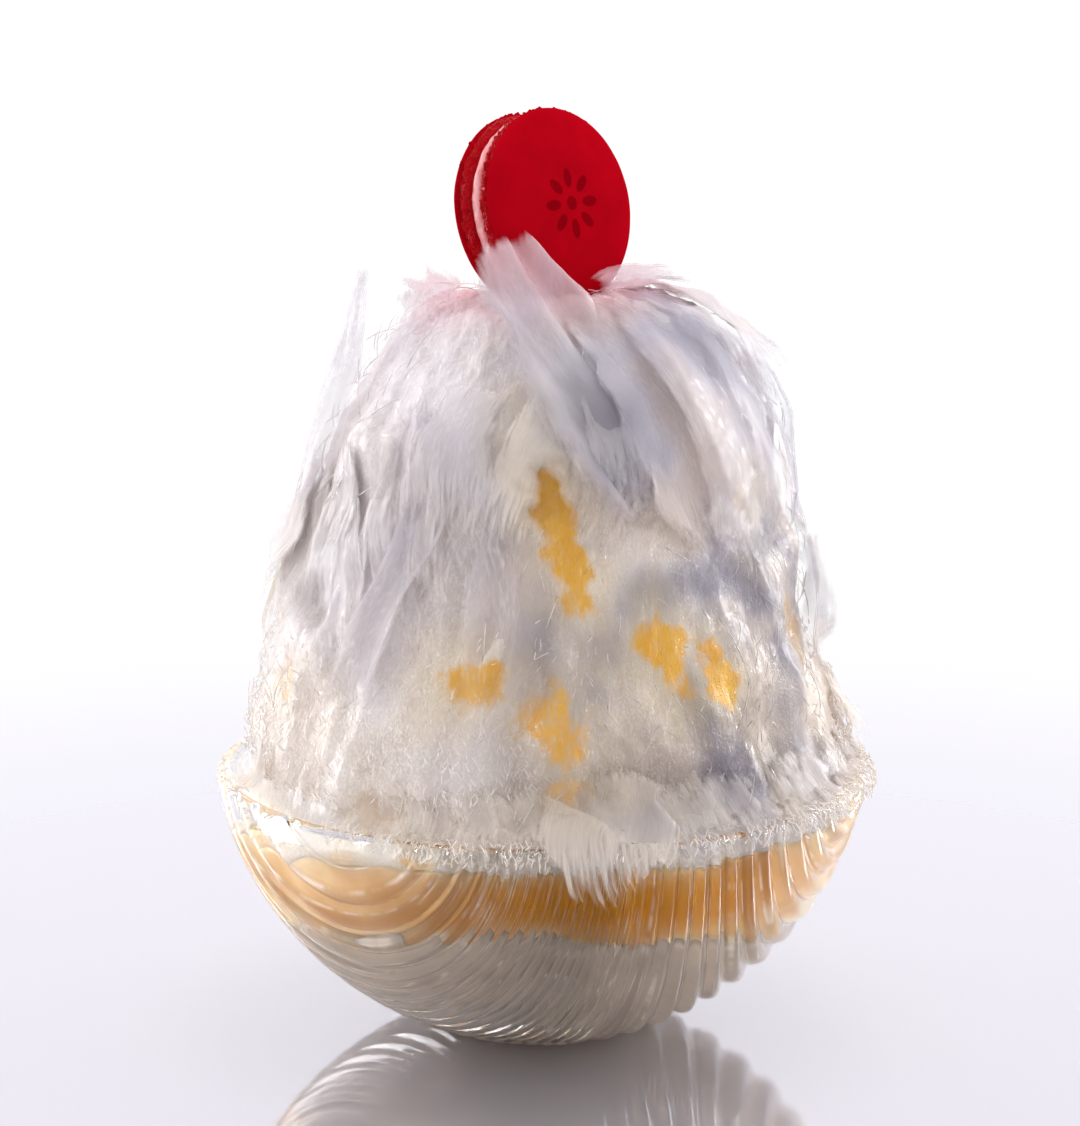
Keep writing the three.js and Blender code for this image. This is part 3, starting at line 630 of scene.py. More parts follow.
# Each spine: points of x, y, z and half width in mm, then folds and fold depth.
VEILS = [
    # the smooth petal that leans on the macaron and runs down the front
    ([(-9, -20.5, 183.5, 6.5), (-1, -31, 168, 10.5), (11, -41, 151, 12), (18, -46.5, 137, 10),
      (23, -48, 124, 6)], 2.5, 1.5),
    # the second petal, half under it
    ([(8, -18, 170, 7), (19, -30, 161, 12), (29, -39, 147, 14), (34.5, -42, 131, 13),
      (38, -41, 117, 9)], 1, 0.5),
    # the broad drape over the right shoulder
    ([(17, -13, 170.8, 9), (31, -26, 161, 13.5), (42, -31.5, 142.5, 16), (47, -33, 125, 16),
      (49, -33.5, 114, 12)], 2, 0.5),
    # the strands down the right side
    ([(44.5, 3, 156, 9), (53.5, -2, 138.5, 12), (56.5, -3, 121, 11), (57.5, -2, 111, 7)], 1.5, 0.8),
    ([(58.5, -6, 115, 5), (61, -9, 104, 6), (60.5, -14, 91, 6.5), (63, -13, 79, 5)], 1.5, 1.2),
    # the spire on the left, and the strands that fall from it
    ([(-38.5, -2, 174, 2.5), (-42.5, -4, 157, 6), (-48.5, -10, 137, 8), (-55, -16, 114, 6)],
     1, 1.0),
    ([(-25, -37, 151, 5), (-29, -44, 123, 9), (-40, -45, 101, 10), (-47, -44, 83.5, 8)], 2, 1.2),
    ([(-2, -48, 140.5, 5), (-6, -53, 119, 9), (-8, -57, 97, 9), (-16, -62, 80, 7)], 2, 1.2),
    # ruffles round the macaron's foot
    ([(12, -14, 170, 5), (23, -8, 172.5, 6), (36, -2, 170, 5)], 1, 1.0),
    ([(-28, 2, 171, 4), (-24, -8, 168, 6), (-26, -22, 160, 8)], 1, 1.0),
    # the tongue that runs over the rim in front
    ([(14, -61.5, 76, 5), (15, -65, 68.5, 11), (15, -69, 64.6, 13), (14, -73.5, 62.3, 12),
      (15, -75.6, 54, 8), (17, -75.4, 48.5, 4)], 2, 0.5),
]


def spline(points, t):
    """Catmull-Rom curve through points at t from 0 to 1."""
    points = np.asarray(points, float)
    padded = np.concatenate([[2 * points[0] - points[1]], points, [2 * points[-1] - points[-2]]])
    x = np.clip(t, 0, 1) * (len(points) - 1)
    i = np.minimum(x.astype(int), len(points) - 2)
    f = (x - i)[..., None]
    a, b, c, d = padded[i], padded[i + 1], padded[i + 2], padded[i + 3]
    curved = (2 * a - 5 * b + 4 * c - d) * f ** 2 + (3 * b - a - 3 * c + d) * f ** 3
    return 0.5 * (2 * b + (c - a) * f + curved)


def noise_grid(u, v, seed, octaves=3):
    """Noise over two grids of coordinates."""
    flat = [noise.fractal(Vector((a, b, seed)), 0.8, 2.1, octaves)
            for a, b in zip(u.ravel(), v.ravel())]
    return np.array(flat).reshape(u.shape)


def closed_sheet(middle, out, thick, grain, edge):
    """A thin closed sheet about a grid of points in metres: points, faces, grain and edge field."""
    rows, columns = middle.shape[:2]
    u, v = np.linspace(-1, 1, columns)[None, :], np.linspace(-1, 1, rows)[:, None]
    body = thick / 2 * np.sqrt(np.clip(1 - u ** 8, 0, 1)) * np.sqrt(np.clip(1 - v ** 12, 0, 1))
    front = middle + out * body[..., None]
    back = middle - out * body[..., None]
    count = rows * columns
    order = np.arange(count).reshape(rows, columns)
    inside = np.zeros((rows, columns), bool)
    inside[1:-1, 1:-1] = True
    behind = order.copy()
    behind[inside] = count + np.arange(inside.sum())
    quads = [grid_faces(rows, columns)]
    low, high = behind[:-1, :-1], behind[1:, 1:]
    quads.append(np.stack([low, behind[1:, :-1], high, behind[:-1, 1:]], -1).reshape(-1, 4))
    points = np.concatenate([front.reshape(-1, 3), back[inside]])
    grain, edge = [np.concatenate([f.reshape(count, -1), f[inside].reshape(inside.sum(), -1)])
                   for f in (grain, edge)]
    return points, np.concatenate(quads), grain, edge[:, 0]


def edge_field(u, v, half, length, crisp=3.5):
    """0 at a veil's border, rising to 1 some millimetres inside; its left side can be crisper."""
    side = np.where(u < 0, (1 + u) * half / crisp, (1 - u) * half / 3.5)
    ends = np.minimum(v * length / 4, (1 - v) * length / 18)
    return np.clip(np.minimum(side, ends), 0, 1)


def free_veil(spine, folds, depth, seed, crisp=3.5, columns=30, rows=44):
    """A veil along a spine of its own."""
    u, v = np.meshgrid(np.linspace(-1, 1, columns), np.linspace(0, 1, rows), indexing="xy")
    t = 0.02 + (0.98 - 0.12 * np.abs(noise_grid(u * 3.1, 0 * v, seed * 7.3, 2))) * v
    at = spline(spine, t)
    centre, half = at[..., :3], at[..., 3]
    ahead, behind = spline(spine, np.minimum(t + 0.01, 1)), spline(spine, np.maximum(t - 0.01, 0))
    along = unit((ahead - behind)[..., :3])
    across = unit(np.cross(along, unit(centre - [0, 0, 25])))
    out = unit(np.cross(across, along))
    ragged = noise_grid(np.sign(u) * 5, v * 6, seed * 1.9, 2)
    half = 1.2 * half * np.minimum(1, 0.7 + 2.2 * np.minimum(v, 1 - v))
    half = half * (1 + 0.3 * ragged * np.abs(u))
    fold = depth * np.cos(u * np.pi * folds + 1.2 * v + seed)
    fold = fold + noise_grid(u * 1.7, v * 2.3, seed * 5.1)
    middle = centre + across * (u * half)[..., None] + out * (fold - 0.05 * half * u * u)[..., None]
    steps = np.diff(np.array([p[:3] for p in spine], float), axis=0)
    length = np.sum(np.linalg.norm(steps, axis=1))
    grain = np.stack([u * half, v * length, np.full_like(u, seed * 3.0)], -1)
    return closed_sheet(middle * MM, out, VEIL_THICK, grain, edge_field(u, v, half, length, crisp))


# The mound's outline as it is walked down from the top: distance walked and height.
walk_heights = np.linspace(MOUND[-1, 0], MOUND[0, 0] + 3 * MM, 400)
walk_radii = mound_radius(walk_heights, math.pi / 2)
walked = np.concatenate([[0], np.cumsum(np.hypot(np.diff(walk_heights), np.diff(walk_radii)))])


def on_mound(distance, angle):
    """Point of the lumpy mound a distance down from its top, and the way out of it."""
    def plain(d, a):
        height = np.interp(d, walked, walk_heights)
        radius = mound_radius(height, a)
        return np.stack([radius * np.cos(a), radius * np.sin(a), height], -1)
    point = plain(distance, angle)
    down = plain(distance + 1 * MM, angle) - plain(distance - 1 * MM, angle)
    around = np.stack([-np.sin(angle), np.cos(angle), np.zeros_like(angle)], -1)
    return swell(point), unit(np.cross(down, around))


def draped_veil(top, angle, length, half, slant, lift, seed, columns=11, rows=24):
    """A veil lying on the mound: its top's distance down in mm and angle, its length and half
    width, how far it slants, and how high it lies at its upper and lower end."""
    u, v = np.meshgrid(np.linspace(-1, 1, columns), np.linspace(0, 1, rows), indexing="xy")
    ragged = noise_grid(np.sign(u) * 5, v * 5, seed * 1.9, 2)
    spread = half * (0.45 + 0.75 * v ** 0.7) * (1 + 0.3 * ragged * np.abs(u))
    down = top + length * v * (1 - 0.12 * np.abs(noise_grid(u * 3.3, 0 * v, seed * 7.3, 2)))
    radius = np.maximum(25, mound_radius(np.interp(down * MM, walked, walk_heights), angle) / MM)
    sway = slant * v + 0.12 * np.sin(2.6 * v + seed)
    turned = angle + (u * spread + sway * length) / radius
    point, out = on_mound(np.clip(down * MM, 1 * MM, walked[-1]), turned)
    fold = 0.25 * np.cos(u * np.pi * 2 + v + seed) + 0.55 * noise_grid(u * 1.4, v * 2.3, seed * 5.1)
    raised = lift[0] + (lift[1] - lift[0]) * v + fold * (0.4 + 0.6 * v)
    grain = np.stack([u * spread, v * length, np.full_like(u, seed * 3.0)], -1)
    return closed_sheet(point + out * (raised * MM)[..., None], out, DRAPE_THICK, grain,
                        edge_field(u, v, spread, length))


def joined(parts):
    """Points, faces, grain and edge field of many sheets as one."""
    points, faces, grain, edge = zip(*parts)
    starts = np.cumsum([0] + [len(p) for p in points[:-1]])
    faces = [quads + start for quads, start in zip(faces, starts)]
    return [np.concatenate(field) for field in (points, faces, grain, edge)]


def veil_piece(name, parts, material, parting=1.0):
    """Veils as one piece; where syrup shows they part."""
    points, faces, grain, edge = joined(parts)
    frost = 0.5 + 0.3 * np.sin(12.9 * grain[:, 2])  # each veil is as milky or as clear all over
    piece = make_piece(name, points, faces, material, grain=grain, edge=edge, frost=frost,
                       syrup=0.2 * syrup_at(points), glow=syrup_at(points, GLOW_SPREAD),
                       parted=parting * syrup_at(points), cloud=clouds(points),
                       broad=broad_fibres(grain, [6, 18, 6]))
    stand_for(piece, "shaved_ice", "shaved_ice")


# Veil ice: silky fibres along the fall, milky where thick, and clear enough to let light through.
veil_ice = ice_material("veil_shaved_ice", "EAE7EC", "CFCDD4", 0.22, opacity=0.85, specks=0.25,
                        fray=0.7, relief=0.2)
# Draped ice: the same in smaller, drier veils, full of bright threads.
draped_ice = ice_material("draped_shaved_ice", "FDFCFC", "DEDADA", 0.25, opacity=0.68,
                          relief=0.25)
# Strand ice: wetter, so it is clearer and a cool grey.
strand_ice = ice_material("strand_shaved_ice", "F0EEF3", "D4D1DA", 0.25, opacity=0.5, specks=0.5,
                          relief=0.2)
# Spilled ice: drier and thicker, so it is whiter and less clear, with little of the painted shade.
spilled_ice = ice_material("spilled_shaved_ice", "FFFFFF", "EAE8EA", 0.32, opacity=0.78, shine=0.15,
                           wet_and_shade_amount=0.3)
veil_piece("ice_petal", [free_veil(*VEILS[0], 0, 1.0)], veil_ice, 0.5)
strands = [free_veil(*veil, i) for i, veil in enumerate(VEILS[1:-1], 1)]
veil_piece("ice_strands", strands, strand_ice, 0.8)

rng = np.random.default_rng(8)
drapes, bold = [], []
for i in range(DRAPES):
    top = 3 + 122 * ((i * 0.618) % 1) ** 0.8
    angle = 2.39996 * i + rng.uniform(-0.2, 0.2)
    length = rng.uniform(24, 52) * (1 if top < 90 else 0.7)
    slant = 0.28 * math.sin(2 * angle + 0.6) + rng.uniform(-0.2, 0.2)
    if i % 5:
        into, lift = drapes, (-1, rng.uniform(0.2, 2.4))
    else:  # every fifth lies on top, milkier and further out
        into, lift = bold, (0.2, rng.uniform(2.5, 5))
    half = rng.uniform(4.5, 12)
    into.append(draped_veil(top, angle, min(length, 150 - top), half, slant, lift, i + 20.0))
veil_piece("ice_drapes", drapes, draped_ice)
veil_piece("ice_drapes_outer", bold, spilled_ice)

# Shreds that hang over the lip of the bowl, in front and to the right: direction in degrees, half
# width, and how far down they reach outside.
SHREDS = [(-121, 4, 57), (-111, 6, 56), (-101, 5, 54), (-92, 7, 54), (-84, 6, 51), (-73, 6, 49.5),
          (-64, 8, 52), (-56, 6, 56), (-47, 5, 53), (-38, 6, 55), (-28, 5, 52), (-17, 6, 55),
          (-6, 5, 53), (6, 6, 56), (20, 5, 54), (38, 6, 57), (62, 7, 55), (88, 6, 57), (112, 6, 56),
          (139, 5, 57), (-158, 4, 58)]
# and short ones that end on the lip
SHREDS += [(-125 + 13 * k + 3 * math.sin(5 * k), 6 + 1.5 * math.sin(3 * k),
            58 + 1.2 * math.sin(7 * k)) for k in range(14)]
shreds = [free_veil(*VEILS[-1], 10)]
for i, (direction, half, low) in enumerate(SHREDS):
    facing = math.radians(direction)
    spine = [(64.5 * math.cos(facing - 0.05), 64.5 * math.sin(facing - 0.05), 72, half * 0.8),
             (68 * math.cos(facing), 68 * math.sin(facing), 64, half),
             (72 * math.cos(facing), 72 * math.sin(facing), 61, half),
             (74.3 * math.cos(facing + 0.03), 74.3 * math.sin(facing + 0.03), low, half * 0.6)]
    shreds.append(free_veil(spine, 1.5, 0.5, i + 300.0, 3.5, 13, 20))
veil_piece("ice_shreds", shreds, spilled_ice)

# ---- The loose flakes and crumbs of ice -------------------------------------------------------
# Between and over the veils lie hundreds of small torn wisps, which hang down the mound like
# combed silk, and low down, where it was patted into the bowl, coarse crystal crumbs.

WISP_THICK = 0.25 * MM


def wisp_shape(name, length, width, bow, twist, columns=3, rows=5):
    """One wisp: a thin closed strip, bowed along its length. Its own axes are X across, Y along
    (down the mound) and Z out."""
    u, v = np.meshgrid(np.linspace(-1, 1, columns), np.linspace(0, 1, rows), indexing="xy")
    outline = np.sin(np.pi * np.clip(v * 0.9 + 0.06, 0, 1)) ** 0.7
    x = u * width / 2 * outline + twist * (v - 0.5) ** 2 * width * 3
    y = (v - 0.5) * length
    z = -bow * (2 * v - 1) ** 2 + 0.12 * width * np.cos(u * 1.4)
    out = np.zeros((rows, columns, 3))
    out[..., 2] = 1
    middle = np.stack([x, y, z], -1)
    grain = np.stack([x, y, np.zeros_like(x)], -1)
    edge = np.clip((1 - np.abs(u)) + 0.25, 0, 1) * np.clip(1.1 - np.abs(2 * v - 1) ** 3, 0, 1)
    points, faces, grain, edge = closed_sheet(middle * MM, out, WISP_THICK, grain, edge)
    count = len(points)
    return make_piece(name, points, faces, None, grain=grain, edge=edge, frost=np.ones(count),
                      cloud=np.full(count, 0.5), broad=np.full(count, 0.6))


def crumb_shape(name, size, seed):
    """One crystal crumb: a small broken splinter."""
    draw = np.random.default_rng(seed)
    corners = np.array([(x, y, z) for x in (-1, 1) for y in (-1, 1) for z in (-1, 1)], float)
    corners = corners * (size * np.array([0.22, 1.7, 0.18])) * (1 + draw.uniform(-0.4, 0.4, (8, 3)))
    quads = [(0, 1, 3, 2), (4, 6, 7, 5), (0, 4, 5, 1), (2, 3, 7, 6), (0, 2, 6, 4), (1, 5, 7, 3)]
    return make_piece(name, corners * MM, quads, None, grain=corners, smooth=False,
                      frost=np.ones(8), cloud=np.full(8, 0.5), broad=np.full(8, 0.6))


def scatter_tree(name, material):
    """Geometry Nodes: pieces of a collection spread over a surface by its cover field, each
    standing on it with its length along the flow field."""
    tree = bpy.data.node_groups.new(name, "GeometryNodeTree")
    numbers = ("Per Square Metre", "Smallest", "Largest", "Lift", "Sway", "Tip Out")
    inputs = [("Geometry", "NodeSocketGeometry"), ("Shapes", "NodeSocketCollection"),
              *[(label, "NodeSocketFloat") for label in numbers], ("Seed", "NodeSocketInt")]
    for label, kind in inputs:
        tree.interface.new_socket(label, in_out="INPUT", socket_type=kind)
    tree.interface.new_socket("Geometry", in_out="OUTPUT", socket_type="NodeSocketGeometry")
    given = node(tree, "NodeGroupInput").outputs
    seed = given["Seed"]
    cover, flow = [
        node(tree, "GeometryNodeInputNamedAttribute", {"Name": label}, "Attribute", data_type=kind)
        for label, kind in (("cover", "FLOAT"), ("flow", "FLOAT_VECTOR"))]
    density = node(tree, "ShaderNodeMath", (given["Per Square Metre"], cover), 0,
                   operation="MULTIPLY")
    spread = node(tree, "GeometryNodeDistributePointsOnFaces", {
        "Mesh": given["Geometry"], "Density": density, "Seed": seed},
        distribute_method="RANDOM").outputs
    turned = node(tree, "FunctionNodeAxesToRotation", {
        "Primary Axis": spread["Normal"], "Secondary Axis": flow}, 0,
        primary_axis="Z", secondary_axis="Y")
    less = node(tree, "ShaderNodeMath", (0.0, given["Sway"]), 0, operation="SUBTRACT")
    low, high = [node(tree, "ShaderNodeCombineXYZ", (way, way, way), 0)
                 for way in (less, given["Sway"])]
    wobble = node(tree, "FunctionNodeRandomValue", {0: low, 1: high, "Seed": seed}, 0,
                  data_type="FLOAT_VECTOR")
    lean = node(tree, "ShaderNodeCombineXYZ", {"X": given["Tip Out"]}, 0)
    bent = node(tree, "ShaderNodeVectorMath", (wobble, lean), 0, operation="ADD")
    turned = node(tree, "FunctionNodeRotateRotation", {
        "Rotation": turned, "Rotate By": bent}, 0, rotation_space="LOCAL")
    size = node(tree, "FunctionNodeRandomValue", {
        2: given["Smallest"], 3: given["Largest"], "Seed": seed}, 1, data_type="FLOAT")
    shapes = node(tree, "GeometryNodeCollectionInfo", {
        "Collection": given["Shapes"], "Separate Children": True, "Reset Children": True}, 0)
    placed = node(tree, "GeometryNodeInstanceOnPoints", {
        "Points": spread["Points"], "Instance": shapes, "Pick Instance": True, "Rotation": turned,
        "Scale": size}, 0)
    up = node(tree, "ShaderNodeCombineXYZ", {"Z": given["Lift"]}, 0)
    raised = node(tree, "GeometryNodeTranslateInstances", {
        "Instances": placed, "Translation": up, "Local Space": True}, 0)
    real = node(tree, "GeometryNodeRealizeInstances", {"Geometry": raised}, 0)
    done = node(tree, "GeometryNodeSetMaterial", {"Geometry": real, "Material": material}, 0)
    node(tree, "NodeGroupOutput", {"Geometry": done})
    return tree


def scattered(name, ground, shapes, tree, values):
    """The tree's result on a ground mesh as a plain mesh piece; its shapes are used up."""
    kinds = bpy.data.collections.new(name + "_kinds")
    for shape in shapes:
        bpy.context.scene.collection.objects.unlink(shape)
        kinds.objects.link(shape)
    modifier = ground.modifiers.new(name, "NODES")
    modifier.node_group = tree
    sockets = {s.name: s.identifier for s in tree.interface.items_tree if s.in_out == "INPUT"}
    for label, value in {"Shapes": kinds, **values}.items():
        modifier[sockets[label]] = value
    bpy.context.view_layer.update()
    evaluated = ground.evaluated_get(bpy.context.evaluated_depsgraph_get())
    mesh = bpy.data.meshes.new_from_object(evaluated)
    mesh.name = name
    ground.modifiers.remove(modifier)
    for shape in shapes:
        bpy.data.objects.remove(shape)
    bpy.data.collections.remove(kinds)
    made = bpy.data.objects.new(name, mesh)
    bpy.context.scene.collection.objects.link(made)
    stand_for(made, "shaved_ice", "shaved_ice")


def flow_on(points):
    """Down the mound, and to the side a little, in slow swirls."""
    side = unit(np.cross([0, 0, 1], unit(points - [0, 0, 40 * MM])))
    down = unit(np.cross(side, unit(points - [0, 0, 40 * MM])))
    down = np.where(down[:, 2:] > 0, -down, down)
    return unit(down + side * 0.8 * fractal(points, 28 * MM, 1)[:, None])


# The ground that the flakes are spread on: the top of the lip, and the mound's skin above it.
lip_rings = [ring(reach * MM, height * MM)
             for reach, height in [(74, 56.6), (73.9, 58.4), (73, 59.7), (71.5, 60.1), (69.8, 60)]]
on_lip = len(lip_rings) * ROUND
SKIN_ROWS, SKIN_INSET = 60, 1.5 * MM
skin_rings = []
for s in np.linspace(0.02, 0.995, SKIN_ROWS):
    height = MOUND[0, 0] + (MOUND[-1, 0] - MOUND[0, 0]) * math.sin(s * math.pi / 2) ** 0.9
    skin_rings.append(swell(ring(mound_radius(height, turn) - SKIN_INSET, height)))
skin_points = np.concatenate(lip_rings + skin_rings)
skin_faces = np.concatenate([grid_faces(len(lip_rings), ROUND, closed=True),
                             grid_faces(len(skin_rings), ROUND, on_lip, closed=True)])
skin_syrup = syrup_at(skin_points)
skin_cover = 1 - smoothstep(skin_syrup, 0.05, 0.4)
skin_cover[:on_lip] = 0
skin = make_piece("skin", skin_points, skin_faces, None, cover=skin_cover)
layer = skin.data.attributes.new("flow", "FLOAT_VECTOR", "POINT")
layer.data.foreach_set("vector", flow_on(skin_points).astype(np.float32).ravel())

# Wisp ice: short glassy threads, which catch the light along their length as bright lines.
wisp_ice = ice_material("wisp_shaved_ice", "FFFFFF", "E6E4E6", 0.12, shine=0.5, wet_and_shade_amount=0.5)
wisp_tree = scatter_tree("scatter_wisps", wisp_ice)
wisps = [wisp_shape(*shape) for shape in (
    ("wisp_a", 8, 0.25, 0.7, 2.0), ("wisp_b", 5, 0.2, 0.4, -2.5), ("wisp_c", 10, 0.3, 0.9, 1.5))]
scattered("ice_wisps", skin, wisps, wisp_tree, {
    "Per Square Metre": 24000.0, "Smallest": 0.4, "Largest": 1.1, "Lift": 1.9 * MM, "Sway": 0.6,
    "Tip Out": 0.04, "Seed": 11})

low_cover = smoothstep(skin_points[:, 2], 108 * MM, 62 * MM)
low_cover *= 1 - smoothstep(skin_syrup, 0.1, 0.5)
low_cover *= 1 - 0.8 * smoothstep(skin_points[:, 0], 5 * MM, 45 * MM)
# frost lies on the lip in patches, but not on its left side
patches = smoothstep(fractal(skin_points[:on_lip], 7 * MM, 2, 4.0), -0.6, 0)
low_cover[:on_lip] = 2.2 * patches * smoothstep(skin_points[:on_lip, 0], -48 * MM, -20 * MM)
skin.data.attributes["cover"].data.foreach_set("value", low_cover.astype(np.float32))
# Crumb ice: dry hard splinters, white as frost, each with one or two bright facets.
crumb_ice = ice_material("crumb_shaved_ice", "FFFFFF", "F2F2F4", 0.08, shine=0.5, wet_and_shade_amount=0.7)
crumb_tree = scatter_tree("scatter_crumbs", crumb_ice)
crumbs = [crumb_shape(f"crumb_{i}", 0.4, i) for i in range(4)]
scattered("ice_crumbs", skin, crumbs, crumb_tree, {
    "Per Square Metre": 750000.0, "Smallest": 0.4, "Largest": 1.3, "Lift": 1.2 * MM, "Sway": 0.8,
    "Tip Out": 0.0, "Seed": 5})
bpy.data.objects.remove(skin)

# ---- The macaron ------------------------------------------------------------------------------
# Two red almond meringue shells with a pink cream filling, standing on edge in the top of the ice.
# Each shell has a smooth eggshell dome and, round its open side, a crumbly risen foot.

MACARON_RADIUS = 21.7
SHELL_DOME = 4.4
SHELL_FOOT = 3.3
FILLING = 2.8
SHELL_START = FILLING / 2
MACARON_CENTRE = Vector((0.3, 0, 185.3)) * MM
TURN, LEAN = math.radians(45.5), math.radians(14)
facing = Vector((math.cos(LEAN) * math.sin(TURN), -math.cos(LEAN) * math.cos(TURN), math.sin(LEAN)))
tipped = Vector((0, 0, 1)).rotation_difference(facing).to_matrix().to_4x4()
POSE = Matrix.Translation(MACARON_CENTRE) @ tipped


def posed(rings, flip=False):
    """Rings in the macaron's own millimetres, put in place; flip makes the back shell."""
    turnover = Matrix.Rotation(math.pi, 4, "X") if flip else Matrix.Identity(4)
    matrix = np.array(POSE @ turnover @ Matrix.Scale(MM, 4))
    return [r @ matrix[:3, :3].T + matrix[:3, 3] for r in rings]


def shell_rings(seed):
    foot_top = SHELL_START + SHELL_FOOT
    profile = [(r, SHELL_START) for r in np.linspace(0, 0.8 * MACARON_RADIUS, 6)]
    for s in np.linspace(0, 1, 16):  # the foot: a bulging rough band with a nick under the dome
        bulge = 0.945 + 0.03 * math.sin(math.pi * s) + 0.01 * s
        profile.append((bulge * MACARON_RADIUS, SHELL_START + 0.2 + (SHELL_FOOT - 0.3) * s))
    for s in np.linspace(0.02, 1, 44):
        reach = MACARON_RADIUS * max(0, math.cos(s * math.pi / 2)) ** 0.62
        profile.append((reach, foot_top + SHELL_DOME * math.sin(s * math.pi / 2)))
    rings = []
    for i, (reach, height) in enumerate(profile):
        flat = ring(reach, height)
        if 5 < i < 23:
            rough = 0.55 * fractal(flat * [1, 1, 1.6], 2.4, 3, seed)
            rough += 0.35 * fractal(flat, 0.9, 2, seed + 3)
            pits = np.minimum(0, fractal(flat, 1.3, 2, seed + 8) + 0.1)
            uneven = 1 + (rough + 0.8 * pits) / reach
            flat = flat * np.column_stack([uneven, uneven, np.ones(len(flat))])
        elif i >= 23:
            flat = flat + [0, 0, 1] * (0.12 * fractal(flat, 9, 2, seed))[:, None]
        rings.append(flat)
    return rings


def macaron_shell(name, seed, material, flip=False):
    rings = shell_rings(seed)
    grain = np.concatenate([[rings[0].mean(0)], *rings[1:-1], [rings[-1].mean(0)]])
    piece = round_piece(name, posed(rings, flip), material, grain=grain)
    piece.data.materials.append(foot_material)
    for face in piece.data.polygons:
        heights = [grain[i][2] for i in face.vertices]
        face.material_index = int(max(heights) < SHELL_START + SHELL_FOOT + 0.1)
    stand_for(piece, "macaron_shell", name.replace("_baked", ""))


def shell_material(name, stamped, specular):
    """Baked red meringue: matt dome, glistening open crumb on the foot. The front dome carries a
    ring of eight ovals round a dot, printed in a darker red."""
    material, tree = new_material(name)
    grain = node(tree, "ShaderNodeAttribute", out="Vector", attribute_name="grain")
    x, y, z = node(tree, "ShaderNodeSeparateXYZ", (grain,)).outputs
    crumb = node(tree, "ShaderNodeTexNoise", {
        "Vector": grain, "Scale": 1.3, "Detail": 4.0, "Roughness": 0.7}, "Fac")
    mottle = node(tree, "ShaderNodeTexNoise", {
        "Vector": grain, "Scale": 0.12, "Detail": 2.0}, "Fac")
    foot = node(tree, "ShaderNodeMath", (z, SHELL_START + SHELL_FOOT - 0.1), 0,
                operation="LESS_THAN")
    smooth = node(tree, "ShaderNodeMix", {0: mottle, 6: "A20414", 7: "BE0618"}, 2, data_type="RGBA")
    rough = node(tree, "ShaderNodeMix", {0: crumb, 6: "7A0008", 7: "D80818"}, 2, data_type="RGBA")
    colour = node(tree, "ShaderNodeMix", {0: foot, 6: smooth, 7: rough}, 2, data_type="RGBA")
    if stamped:
        # the distance from the dome's middle, and the angle within one of eight equal sectors
        squares = [node(tree, "ShaderNodeMath", (side, side), 0, operation="MULTIPLY")
                   for side in (x, y)]
        distance = node(tree, "ShaderNodeMath", squares, 0, operation="ADD")
        distance = node(tree, "ShaderNodeMath", (distance,), 0, operation="SQRT")
        bearing = node(tree, "ShaderNodeMath", (y, x), 0, operation="ARCTAN2")
        sector = node(tree, "ShaderNodeMath", (bearing, math.pi / 8, -math.pi / 8), 0,
                      operation="WRAP")
        # an oval's middle in millimetres from that of the dome, and its half length and half width
        ovals = []
        for part, middle, half in (("COSINE", 5.6, 2.1), ("SINE", 0.0, 1.15)):
            reach = node(tree, "ShaderNodeMath", (sector,), 0, operation=part)
            reach = node(tree, "ShaderNodeMath", (distance, reach), 0, operation="MULTIPLY")
            reach = node(tree, "ShaderNodeMath", (reach, middle), 0, operation="SUBTRACT")
            reach = node(tree, "ShaderNodeMath", (reach, half), 0, operation="DIVIDE")
            ovals.append(node(tree, "ShaderNodeMath", (reach, reach), 0, operation="MULTIPLY"))
        oval = node(tree, "ShaderNodeMath", ovals, 0, operation="ADD")
        dot = node(tree, "ShaderNodeMath", (distance, 1.5), 0, operation="DIVIDE")
        dot = node(tree, "ShaderNodeMath", (dot, dot), 0, operation="MULTIPLY")
        motif = node(tree, "ShaderNodeMath", (oval, dot), 0, operation="MINIMUM")
        motif = node(tree, "ShaderNodeMapRange", (motif, 0.85, 1.25, 0.55, 0.0), 0)
        top = node(tree, "ShaderNodeMath", (z, SHELL_START + SHELL_FOOT), 0,
                   operation="GREATER_THAN")
        motif = node(tree, "ShaderNodeMath", (motif, top), 0, operation="MULTIPLY")
        colour = node(tree, "ShaderNodeMix", {
            0: motif, 6: colour, 7: "5E0008"}, 2, data_type="RGBA")
    relief = node(tree, "ShaderNodeMath", (foot, 0.9, 0.1), 0, operation="MULTIPLY_ADD")
    height = node(tree, "ShaderNodeMath", (relief, crumb), 0, operation="MULTIPLY")
    bump = node(tree, "ShaderNodeBump", {
        "Height": height, "Strength": 0.6, "Distance": 0.8 * MM}, "Normal")
    dull = node(tree, "ShaderNodeMath", (foot, -0.3, 0.6), 0, operation="MULTIPLY_ADD")
    surface = node(tree, "ShaderNodeBsdfPrincipled", {
        "Base Color": colour, "Roughness": dull, "IOR": 1.45, "Specular IOR Level": specular,
        "Normal": bump}, "BSDF")
    node(tree, "ShaderNodeOutputMaterial", {"Surface": surface})
    return material


foot_material = shell_material("baked_meringue_foot", False, 0.03)
plain_shell = shell_material("baked_red_meringue", False, 0.0)
macaron_shell("macaron_back_shell_baked", 21.0, plain_shell, flip=True)
printed_shell = shell_material("baked_red_meringue_printed", True, 0.0)
macaron_shell("macaron_front_shell_baked", 3.0, printed_shell)

